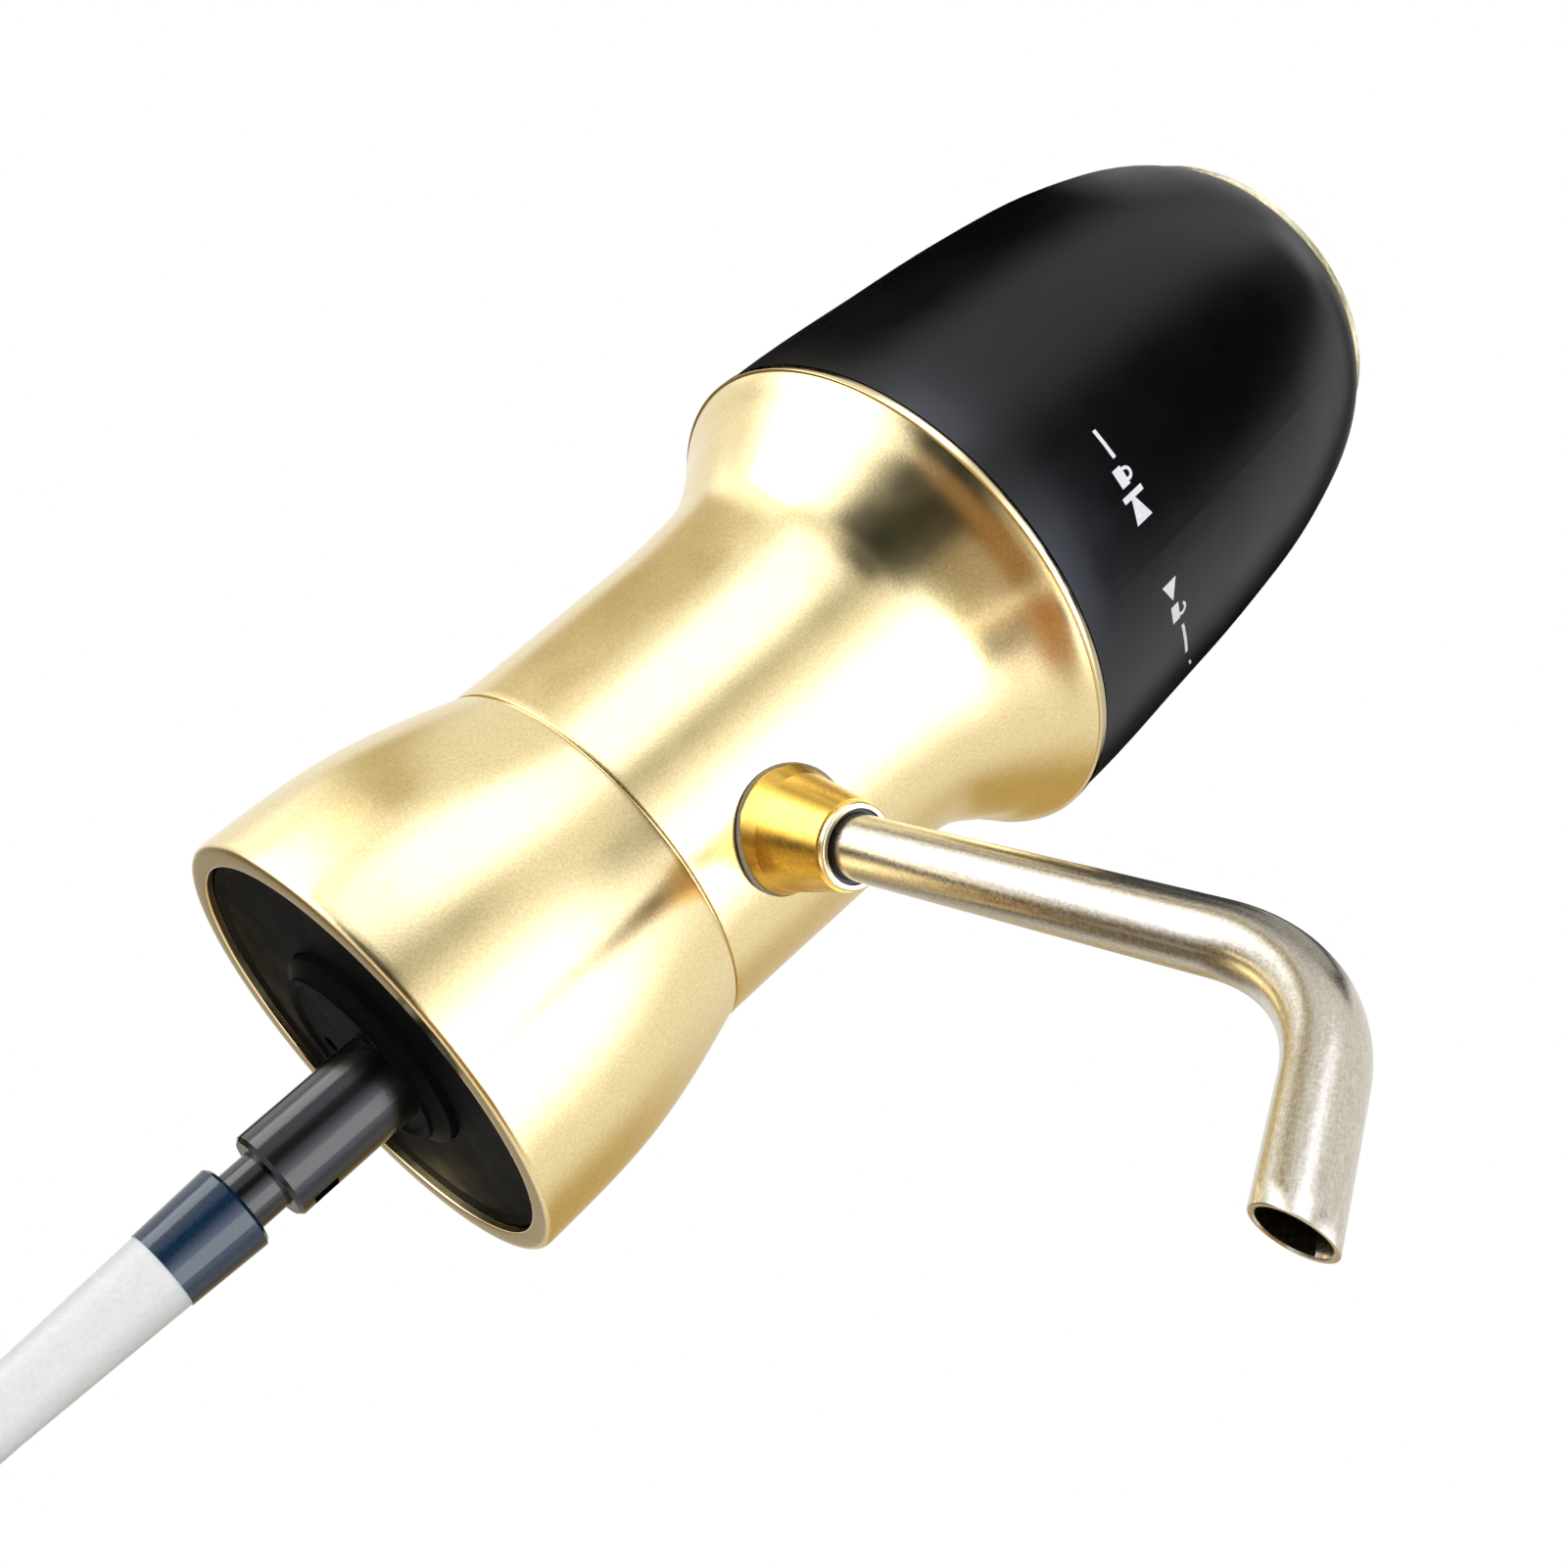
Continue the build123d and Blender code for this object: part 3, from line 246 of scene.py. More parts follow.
def brushedSteel():
    # stainless tube, belt-brushed along its length: lengthwise hairlines, drawn coarser than real ones, and
    # small grey flecks
    material, tree, shader, place = newMaterial("brushed_stainless", 1)
    shader.inputs["Anisotropic"].default_value = spoutSteel["brushing"]
    wrap = addNode(tree, "ShaderNodeUVMap").outputs["UV"]
    along = addNode(tree, "ShaderNodeMapping", {"Scale": (1, spoutSteel["lineShare"], 1)}, {"Vector": wrap})
    lines = addNode(tree, "ShaderNodeTexNoise", spots(spoutSteel["lineMm"], spoutSteel["detail"]),
                    {"Vector": along.outputs["Vector"]}).outputs["Fac"]
    grain = addNode(tree, "ShaderNodeTexNoise", spots(spoutSteel["grainMm"], spoutSteel["detail"]),
                    {"Vector": place}).outputs["Fac"]
    flecks = addNode(tree, "ShaderNodeMath", links={0: lines, 1: grain}, operation="MULTIPLY")
    tone = addNode(tree, "ShaderNodeMapRange",
                   {"From Min": spoutSteel["toneFrom"], "From Max": spoutSteel["toneTo"]},
                   {"Value": flecks.outputs["Value"]})
    colour = addNode(tree, "ShaderNodeMix", tonePair(spoutSteel["tones"]), {"Factor": tone.outputs["Result"]},
                     data_type="RGBA")
    roughness = addNode(tree, "ShaderNodeMapRange", stretched(*spoutSteel["roughness"]), {"Value": grain})
    dress(tree, shader, colour.outputs["Result"], roughness.outputs["Result"], lines,
          spoutSteel["lineHeightMm"])
    return material


cellWrap = {"tones": ("#1E2A3C", "#B98A3A"), "bandFromMm": 118, "ends": "#B8B8B6", "endFacing": 0.5,
            "roughness": 0.35}


def cellJacket():
    # plain shrink jacket on a steel cell: dark body, pale band, bare nickel ends
    material, tree, shader, place = newMaterial("cell_jacket", 0)
    height = addNode(tree, "ShaderNodeSeparateXYZ", links={"Vector": place}).outputs["Z"]
    normal = addNode(tree, "ShaderNodeNewGeometry").outputs["True Normal"]
    facing = addNode(tree, "ShaderNodeSeparateXYZ", links={"Vector": normal}).outputs["Z"]
    upright = addNode(tree, "ShaderNodeMath", links={0: facing}, operation="ABSOLUTE").outputs["Value"]
    limits = ((upright, cellWrap["endFacing"]), (height, cellWrap["bandFromMm"] * mm))
    ends, band = [addNode(tree, "ShaderNodeMath", {1: limit}, {0: source}, operation="GREATER_THAN")
                  for source, limit in limits]
    jacket = addNode(tree, "ShaderNodeMix", tonePair(cellWrap["tones"]), {"Factor": band.outputs["Value"]},
                     data_type="RGBA")
    colour = addNode(tree, "ShaderNodeMix", {"B": linearColour(cellWrap["ends"])},
                     {"Factor": ends.outputs["Value"], "A": jacket.outputs["Result"]}, data_type="RGBA")
    tree.links.new(colour.outputs["Result"], shader.inputs["Base Color"])
    tree.links.new(ends.outputs["Value"], shader.inputs["Metallic"])
    shader.inputs["Roughness"].default_value = cellWrap["roughness"]
    return material


finishes = {"brightGold": brightGold(), "platedGold": platedGold(), "brushedSteel": brushedSteel(),
            "cellJacket": cellJacket()}
for finish, looks in grainedLooks.items():
    finishes[finish] = grained(looks)

finishOf = {
    "blastedGold": ["skirt_shell", "body_shell", "button"],
    "brightGold": ["rim_ring"],
    "paleGold": ["top_ring"],
    "platedGold": ["spout_collar"],
    "brushedSteel": ["spout_tube"],
    "satinBlack": ["cap_shell"],
    "cellJacket": ["battery_cells"],
    "mouldedBlack": ["joint_sleeve", "intake_nozzle", "intake_stub", "flow_block", "motor_end_cap",
                     "bayonet_deck", "battery_holder", "holder_top", "button_guide", "push_switch",
                     "switch_plunger"],
    "dullBlack": ["base_plate", "retaining_ring", "bottle_gasket"],
    "padBlack": ["spout_seal", "wiper_ring", "diaphragm"],
    "padGreyAndShade": ["collar_gasket"],
    "blueSleeve": ["coupling_sleeve"],
    "whiteTube": ["dip_tube"],
    "clearHose": ["riser_hose", "air_hose"],
    "pumpGrey": ["pump_head", "valve_plate", "swing_plate", "pump_frame"],
    "greenBoard": ["switch_board"],
    "nickelSheet": ["motor_can", "contact_plates", "cell_springs", "button_spring", "spout_ferrule"],
    "zincScrew": ["pump_screws", "deck_screws", "tie_screw", "board_screws", "guide_screws"],
    "stampedBrass": ["motor_bush", "motor_terminals", "contact_rings", "contact_feet", "eccentric_cam"],
    "ferrite": ["motor_magnets"],
    "laminatedIron": ["motor_rotor"],
}
for finish, names in finishOf.items():
    for name in names:
        nodes[name].data.materials.clear()
        nodes[name].data.materials.append(finishes[finish])
print("materials set on", sum(len(names) for names in finishOf.values()), "nodes")


def turnsOf(segments):
    return [2 * math.pi * step / segments for step in range(segments)]


def joinRings(bm, rings, closed=True):
    # smooth quads from each ring to the next, and from the last to the first where the skin closes on itself
    faces = []
    following = rings[1:] + (rings[:1] if closed else [])
    for row, (here, there) in enumerate(zip(rings, following)):
        for step in range(len(here)):
            beside = (step + 1) % len(here)
            face = bm.faces.new((here[step], here[beside], there[beside], there[step]))
            face.smooth = True
            faces.append((row, step, face))
    return faces


def pieceFrom(bm, name, finish, sharpAngle=None):
    bmesh.ops.recalc_face_normals(bm, faces=bm.faces)
    mesh = bpy.data.meshes.new(name)
    bm.to_mesh(mesh)
    bm.free()
    if sharpAngle:
        mesh.set_sharp_from_angle(angle=math.radians(sharpAngle))
    mesh.materials.append(finishes[finish])
    piece = bpy.data.objects.new(name, mesh)
    bpy.context.scene.collection.objects.link(piece)
    return piece


def smoothSide(heights, radii, stepsPerSpan=10):
    # natural cubic through the points, spaced by the distance between them
    points = np.array([radii, heights], float).T
    spans = np.linalg.norm(np.diff(points, axis=0), axis=1)
    count = len(points)
    system = np.eye(count)
    wanted = np.zeros((count, 2))
    for row in range(1, count - 1):
        before, after = spans[row - 1], spans[row]
        system[row, row - 1:row + 2] = before, 2 * (before + after), after
        wanted[row] = 6 * ((points[row + 1] - points[row]) / after - (points[row] - points[row - 1]) / before)
    curvature = np.linalg.solve(system, wanted)
    side = []
    for low in range(count - 1):
        span = spans[low]
        for step in range(stepsPerSpan):
            t = step / stepsPerSpan * span
            left = span - t
            spot = (curvature[low] * left ** 3 + curvature[low + 1] * t ** 3) / (6 * span)
            spot = spot + (points[low] / span - curvature[low] * span / 6) * left
            spot = spot + (points[low + 1] / span - curvature[low + 1] * span / 6) * t
            side.append(tuple(spot))
    return side + [tuple(points[-1])]


def rounded(outline, steps=5):
    # each corner that has a round gets an arc-like curve that starts and ends at that distance
    points = []
    for place, corner in enumerate(outline):
        spot = Vector(corner[:2])
        if len(corner) < 3:
            points.append(spot)
            continue
        before = Vector(outline[place - 1][:2])
        after = Vector(outline[(place + 1) % len(outline)][:2])
        start = spot + (before - spot).normalized() * corner[2]
        end = spot + (after - spot).normalized() * corner[2]
        for step in range(steps + 1):
            t = step / steps
            points.append(start.lerp(spot, t).lerp(spot.lerp(end, t), t))
    return points


def turnedPiece(name, outline, finish, segments=256, sharpAngle=40):
    # closed outline of (radius, height, corner round) spun round the body's axis
    bm = bmesh.new()
    rings = [[bm.verts.new((radius * math.cos(turn) * mm, radius * math.sin(turn) * mm, height * mm))
              for turn in turnsOf(segments)] for radius, height in rounded(outline)]
    joinRings(bm, rings)
    return pieceFrom(bm, name, finish, sharpAngle)


shellWall = 1.2


def shellSides(low, high, narrow, wide, heightShares, swellShares):
    # outer and inner side of a thin turned shell, from the bottom up
    heights = [low + (high - low) * share for share in heightShares]
    radii = [narrow + (wide - narrow) * share for share in swellShares]
    return smoothSide(heights, radii), smoothSide(heights, [radius - shellWall for radius in radii])


skirt = {"mouth": 25.45, "waist": 21.4, "height": 29.7, "lipWidth": 2.5, "lipHeight": 2.4, "lipRound": 0.8,
         "heightShares": (0, 0.25, 0.5, 0.75, 1), "swellShares": (1, 0.975, 0.85, 0.5, 0), "edgeRound": 0.22,
         "landInset": 0.3, "landHeight": 29.92}


def skirtBell():
    outside, inside = shellSides(0, skirt["height"], skirt["waist"], skirt["mouth"], skirt["heightShares"],
                                 skirt["swellShares"])
    inside = [spot for spot in inside if spot[1] > skirt["lipHeight"]]
    lipInner = skirt["mouth"] - skirt["lipWidth"]
    land = skirt["waist"] - skirt["landInset"]  # narrow step that shows as the dark seam under the waist
    outline = [(lipInner, 0, skirt["edgeRound"]), (skirt["mouth"], 0, skirt["lipRound"])]
    outline += [spot for spot in outside[1:-1] if spot[1] > skirt["lipRound"]]
    outline += [(*outside[-1], skirt["edgeRound"]), (land, skirt["height"]), (land, skirt["landHeight"])]
    outline += [(inside[-1][0], skirt["landHeight"])] + inside[-2::-1]
    outline += [(skirt["mouth"] - shellWall, skirt["lipHeight"]), (lipInner, skirt["lipHeight"])]
    piece = turnedPiece("skirt_bell", outline, "blastedGold")
    piece.data.materials.append(finishes["brightGold"])
    brightReach = (lipInner + skirt["edgeRound"] / 2) * mm
    for face in piece.data.polygons:  # the lip's inner edge is turned bright
        if face.center.xy.length < brightReach and face.center.z < skirt["lipHeight"] * mm:
            face.material_index = 1
    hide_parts("skirt_shell")
    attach(piece, "base")


def drill(piece, radius, height, reach, segments=64):
    # hole along +X from the axis out, cut with a round cutter that is deleted afterwards
    bm = bmesh.new()
    turned = Matrix.Translation((reach / 2 * mm, 0, height * mm)) @ Matrix.Rotation(math.pi / 2, 4, "Y")
    bmesh.ops.create_cone(bm, cap_ends=True, segments=segments, radius1=radius * mm, radius2=radius * mm,
                          depth=reach * mm, matrix=turned)
    mesh = bpy.data.meshes.new("cutter")
    bm.to_mesh(mesh)
    bm.free()
    cutter = bpy.data.objects.new("cutter", mesh)
    bpy.context.scene.collection.objects.link(cutter)
    hole = piece.modifiers.new("hole", "BOOLEAN")
    hole.operation = "DIFFERENCE"
    hole.solver = "EXACT"
    hole.object = cutter
    shown = piece.evaluated_get(bpy.context.evaluated_depsgraph_get())
    drilled = bpy.data.meshes.new_from_object(shown)
    piece.modifiers.clear()
    plain = piece.data
    piece.data = drilled
    drilled.name = plain.name + "_drilled"
    bpy.data.meshes.remove(plain)
    bpy.data.objects.remove(cutter)
    bpy.data.meshes.remove(mesh)


bowl = {"low": 29.95, "high": 76.9, "waist": 21.4, "rim": 30.2, "edgeRound": 0.15,
        "collarHole": 5.3, "collarHeight": 41.3,
        "heightShares": (0, 0.2, 0.405, 0.56, 0.67, 0.765, 0.834, 0.896, 0.947, 0.985, 1),
        "flareShares": (0, 0.01, 0.03, 0.05, 0.1, 0.19, 0.36, 0.57, 0.77, 0.95, 1)}


def waistBowl():
    outside, inside = shellSides(bowl["low"], bowl["high"], bowl["waist"], bowl["rim"], bowl["heightShares"],
                                 bowl["flareShares"])
    outline = [(*outside[0], bowl["edgeRound"])] + outside[1:-1] + [(*outside[-1], bowl["edgeRound"])]
    piece = turnedPiece("waist_bowl", outline + inside[::-1], "blastedGold")
    drill(piece, bowl["collarHole"], bowl["collarHeight"], bowl["rim"])
    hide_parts("body_shell")
    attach(piece, "base")


rim = {"radius": 30.5, "inner": 28.5, "low": 76.9, "high": 77.8, "edgeRound": 0.08}


def rimBand():
    outline = [(rim["inner"], rim["low"]), (rim["radius"], rim["low"], rim["edgeRound"]),
               (rim["radius"], rim["high"], rim["edgeRound"]), (rim["inner"], rim["high"])]
    piece = turnedPiece("rim_band", outline, "brightGold")
    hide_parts("rim_ring")
    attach(piece, "base")


crown = {"radius": 21.1, "inner": 17.3, "low": 139.9, "high": 141.25, "footRound": 0.15, "edgeRound": 0.3}


def crownBand():
    outline = [(crown["inner"], crown["low"]), (crown["radius"], crown["low"], crown["footRound"]),
               (crown["radius"], crown["high"], crown["edgeRound"]),
               (crown["inner"], crown["high"], crown["edgeRound"])]
    piece = turnedPiece("crown_band", outline, "paleGold")
    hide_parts("top_ring")
    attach(piece, "cap")
    return piece


skirtBell()
waistBowl()
rimBand()
crownRing = crownBand()
print("turned shells made")

# The cut is the open end's slant and the skew its turn to one side, in degrees like the bend. The leg's
# length runs to the middle of the cut.
spout = {"height": 41.3, "start": 11.6, "run": 74.6, "bendRadius": 18.8, "bend": 64.2, "leg": 13.7,
         "cut": 24.7, "skew": 10.5, "radius": 3.2, "wall": 0.5, "edgeRound": 0.14, "roundMiddle": 0.3}


def spoutRing(part, share, radius, setBack=0.0, segments=96):
    # ring of points at a share of the level run, the bend or the leg, which ends askew
    bend, cut, skew = [math.radians(spout[angle]) for angle in ("bend", "cut", "skew")]
    ring = []
    for turn in turnsOf(segments):
        over, side = radius * math.cos(turn), radius * math.sin(turn)
        x, z = spout["start"] + (spout["run"] - spout["start"]) * share, spout["height"] + over
        if part != "run":
            angle = bend * (share if part == "bend" else 1)
            reach = spout["bendRadius"] + over
            x = spout["run"] + reach * math.sin(angle)
            z = spout["height"] - spout["bendRadius"] + reach * math.cos(angle)
        if part == "leg":
            slant = over * math.tan(cut) - side * math.tan(skew) / math.cos(cut)
            ahead = share * (spout["leg"] + slant) - setBack
            x, z = x + ahead * math.cos(bend), z - ahead * math.sin(bend)
        ring.append(Vector((x, side, z)))
    return ring


def spoutPipe(steps=(("run", 12), ("bend", 40), ("leg", 6)), sharpAngle=50):
    # bent tube: outer skin out to the cut, rounded edge, bore back; its UV map runs along it in metres
    tube, bore, edge = spout["radius"], spout["radius"] - spout["wall"], spout["edgeRound"]
    middle = spout["roundMiddle"] * edge
    stations = [(part, step / count) for part, count in steps for step in range(count)]
    rings = [spoutRing(*station, tube) for station in stations]
    rings += [spoutRing("leg", 1, radius, setBack) for radius, setBack in
              ((tube, edge), (tube - middle, middle), (tube - edge, 0), (bore + edge, 0), (bore, edge))]
    rings += [spoutRing(*station, bore) for station in reversed(stations)]
    along = [0.0]
    for here, there in zip(rings, rings[1:]):
        along.append(along[-1] + (there[0] - here[0]).length * mm)
    along.append(along[-1] + spout["wall"] * mm)
    bm = bmesh.new()
    wrap = bm.loops.layers.uv.new("UVMap")
    placed = [[bm.verts.new(spot * mm) for spot in ring] for ring in rings]
    around = 2 * math.pi * tube * mm / len(placed[0])
    for row, step, face in joinRings(bm, placed):
        near, far = along[row], along[row + 1]
        for loop, (u, v) in zip(face.loops, ((step, near), (step + 1, near), (step + 1, far), (step, far))):
            loop[wrap].uv = (u * around, v)
    piece = pieceFrom(bm, "spout_pipe", "brushedSteel", sharpAngle)
    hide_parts("spout_tube")
    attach(piece, "spout")


spoutPipe()
print("spout pipe made")

# Radius of the wire and of its path; the pressed share is the height that is left when the button is down
coil = {"radius": 5.2, "wire": 0.25, "low": 136.4, "high": 139.7, "turns": 3, "pressedShare": 0.78}


def buttonCoil(segments=20, stepsPerTurn=60, sharpAngle=50):
    # return spring under the button: one wire wound up its full, unpressed height
    steps = coil["turns"] * stepsPerTurn
    rise = coil["high"] - coil["low"]
    slope = math.atan2(rise, 2 * math.pi * coil["radius"] * coil["turns"])
    lean = math.sin(slope)
    bm = bmesh.new()
    rings = []
    for step in range(steps + 1):
        turn = 2 * math.pi * step / stepsPerTurn
        outward = Vector((math.cos(turn), math.sin(turn), 0))
        upright = Vector((math.sin(turn) * lean, -math.cos(turn) * lean, math.cos(slope)))
        middle = outward * coil["radius"] + Vector((0, 0, coil["low"] + rise * step / steps))
        ring = [middle + (outward * math.cos(around) + upright * math.sin(around)) * coil["wire"]
                for around in turnsOf(segments)]
        rings.append([bm.verts.new(spot * mm) for spot in ring])
    joinRings(bm, rings, closed=False)
    for end in (0, -1):
        bm.faces.new(rings[end])
    piece = pieceFrom(bm, "button_coil", "nickelSheet", sharpAngle)
    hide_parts("button_spring")
    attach(piece, "cap")
    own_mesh(piece)


buttonCoil()
print("button spring made")

dipTube = {"centre": 5.5, "bellTop": -27.2, "bellEnd": -46.0, "tip": -280.0, "bellRadius": 4.0, "radius": 3.3,
           "wall": 0.7, "bellBore": 3.15, "stubTip": -36.55, "stubTipBore": 2.75, "lead": 1.2,
           "bellProud": 0.012}


def dipPipe(segments=128, sharpAngle=40):
    # smooth pipe with a bell that grips the stub; a height of None is the tip, cut at 45 degrees
    tube, bore = dipTube["radius"], dipTube["radius"] - dipTube["wall"]
    side = [(dipTube["bellRadius"], dipTube["bellTop"]),
            (tube + dipTube["bellProud"], dipTube["bellEnd"] + dipTube["lead"]),
            (tube, dipTube["bellEnd"] - dipTube["lead"]), (tube, dipTube["tip"] / 2),
            (tube, None), (bore, None), (bore, dipTube["bellEnd"]),
            (dipTube["stubTipBore"], dipTube["stubTip"]), (dipTube["bellBore"], dipTube["bellTop"])]
    bm = bmesh.new()
    rings = []
    for radius, height in side:
        ring = []
        for turn in turnsOf(segments):
            across = radius * math.cos(turn)
            level = dipTube["tip"] - across if height is None else height
            spot = Vector((dipTube["centre"] + across, radius * math.sin(turn), level))
            ring.append(bm.verts.new(spot * mm))
        rings.append(ring)
    joinRings(bm, rings)
    piece = pieceFrom(bm, "dip_pipe", "whiteTube", sharpAngle)
    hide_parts("dip_tube")
    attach(piece, "intake")


dipPipe()
print("dip tube made")

# White marks printed on the cap: a bar with an arrowhead for closed, an arrowhead for open, a plain padlock
# beside each, and short lines. A stroke's corners are (degrees round the cap, height in millimetres), in the
# order start low, start high, end low, end high. A shackle swings by radians.
capMarks = {"start": 45.0, "proud": 0.03, "buried": 0.05, "step": 0.35, "fewestSteps": 2, "mmPerDegree": 0.53,
            "strokes": {"bar": ((-14.4, 89.6), (-14.4, 92.9), (-13.1, 89.6), (-13.1, 92.9)),
                        "closedArrow": ((-13.1, 90.7), (-13.1, 91.3), (-8.0, 89.7), (-8.0, 92.4)),
                        "openArrow": ((7.0, 89.8), (7.0, 92.3), (11.4, 91.0), (11.4, 91.1)),
                        "closedLine": ((-28.6, 91.6), (-28.6, 92.1), (-21.8, 91.6), (-21.8, 92.1)),
                        "openLine": ((19.6, 92.0), (19.6, 92.5), (29.6, 93.2), (29.6, 93.7)),
                        "endStroke": ((35.2, 94.75), (35.2, 95.1), (37.6, 95.45), (37.6, 95.8))},
            "padlocks": {"closed": {"at": (-20.0, 90.4), "swing": 0.0},
                         "open": {"at": (12.9, 90.5), "swing": 0.5}},
            "lock": {"width": 2.2, "height": 1.35, "outer": 0.80, "inner": 0.42, "leg": 0.25, "sunk": 0.05,
                     "archSteps": 12}}


def capInk():
    cap = nodes["cap_shell"]
    tree = BVHTree.FromPolygons([cap.matrix_world @ vertex.co for vertex in cap.data.vertices],
                                [tuple(face.vertices) for face in cap.data.polygons])
    bm = bmesh.new()

    def onCap(azimuth, height, lift):
        way = Vector((math.cos(math.radians(azimuth)), math.sin(math.radians(azimuth)), 0))
        hit = tree.ray_cast(way * capMarks["start"] * mm + Vector((0, 0, height * mm)), -way)[0]
        return bm.verts.new(hit + way * lift * mm)

    def inkStrip(lower, upper):
        # thin closed layer between two lines of (azimuth, height) points
        top, under = [[(onCap(*low, lift), onCap(*high, lift)) for low, high in zip(lower, upper)]
                      for lift in (capMarks["proud"], -capMarks["buried"])]
        for here in range(len(top) - 1):
            there = here + 1
            bm.faces.new((top[here][0], top[there][0], top[there][1], top[here][1]))
            bm.faces.new((under[here][1], under[there][1], under[there][0], under[here][0]))
            bm.faces.new((under[here][0], under[there][0], top[there][0], top[here][0]))
            bm.faces.new((top[here][1], top[there][1], under[there][1], under[here][1]))
        for end in (0, -1):
            bm.faces.new((top[end][0], top[end][1], under[end][1], under[end][0]))

    def inkStroke(corners):
        lowStart, highStart, lowEnd, highEnd = [Vector(corner) for corner in corners]
        length = (lowEnd - lowStart).length * capMarks["mmPerDegree"]
        count = max(capMarks["fewestSteps"], int(length / capMarks["step"]) + 1)
        shares = [step / count for step in range(count + 1)]
        inkStrip([lowStart.lerp(lowEnd, share) for share in shares],
                 [highStart.lerp(highEnd, share) for share in shares])

    def inkPadlock(place, swing):
        # body and shackle; an open shackle has its free leg out and swings on the other
        lock = capMarks["lock"]

        def at(across, up):
            return place[0] + across / capMarks["mmPerDegree"], place[1] + up

        inkStroke([at(across, up) for across in (0, lock["width"]) for up in (0, lock["height"])])
        middle, foot = lock["width"] / 2, lock["height"] + lock["leg"]
        hinge = Vector((middle + (lock["outer"] + lock["inner"]) / 2, lock["height"]))
        sides = []
        for reach in (lock["outer"], lock["inner"]):
            arch = [(middle + reach, lock["height"] - lock["sunk"])]
            for step in range(lock["archSteps"] + 1):
                turn = math.pi * step / lock["archSteps"]
                arch.append((middle + reach * math.cos(turn), foot + reach * math.sin(turn)))
            if not swing:
                arch.append((middle - reach, lock["height"] - lock["sunk"]))
            swung = [hinge + Matrix.Rotation(-swing, 2) @ (Vector(spot) - hinge) for spot in arch]
            sides.append([at(*spot) for spot in swung])
        inkStrip(*sides)

    for corners in capMarks["strokes"].values():
        inkStroke(corners)
    for padlock in capMarks["padlocks"].values():
        inkPadlock(padlock["at"], padlock["swing"])
    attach(pieceFrom(bm, "cap_marks", "whiteInk"), "cap")


capInk()
print("cap marks made")

photoCamera = {"place": (0.17592, -0.09953, -0.04513), "right": (0.62672, 0.39698, 0.67054),
               "down": (0.14284, 0.78740, -0.59967), "forward": (-0.76604, 0.47160, 0.43678),
               "focalPixels": 2127.53, "imagePixels": 1601, "sensorMm": 36, "nearClip": 0.01}


def addCamera():
    data = bpy.data.cameras.new("photo_camera")
    data.sensor_width = photoCamera["sensorMm"]
    data.lens = photoCamera["focalPixels"] * photoCamera["sensorMm"] / photoCamera["imagePixels"]
    data.clip_start = photoCamera["nearClip"]
    camera = bpy.data.objects.new("photo_camera", data)
    axes = Matrix([photoCamera["right"], [-part for part in photoCamera["down"]],
                   [-part for part in photoCamera["forward"]]])
    camera.matrix_world = Matrix.Translation(photoCamera["place"]) @ axes.transposed().to_4x4()
    bpy.context.scene.collection.objects.link(camera)
    bpy.context.scene.camera = camera


def softBand(tree, source, centre, half, soft):
    # one inside centre +- half, fading to zero across the softness; all in degrees, the source in radians
    centre, half, soft = [math.radians(angle) for angle in (centre, half, soft)]
    offset = addNode(tree, "ShaderNodeMath", {1: centre}, {0: source}, operation="SUBTRACT").outputs["Value"]
    wrapped = addNode(tree, "ShaderNodeMath", {1: math.pi, 2: -math.pi}, {0: offset}, operation="WRAP")
    distance = addNode(tree, "ShaderNodeMath", links={0: wrapped.outputs["Value"]}, operation="ABSOLUTE")
    fade = {"From Min": half - soft / 2, "From Max": half + soft / 2, "To Min": 1.0, "To Max": 0.0}
    return addNode(tree, "ShaderNodeMapRange", fade, {"Value": distance.outputs["Value"]},
                   interpolation_type="SMOOTHSTEP").outputs["Result"]


def azimuthAndHeight(tree, direction):
    parts = addNode(tree, "ShaderNodeSeparateXYZ", links={"Vector": direction}).outputs
    azimuth = addNode(tree, "ShaderNodeMath", links={0: parts["Y"], 1: parts["X"]}, operation="ARCTAN2")
    return azimuth.outputs["Value"], parts["Z"]


studioFill = 0.42  # even light that diffuse surfaces get from all round

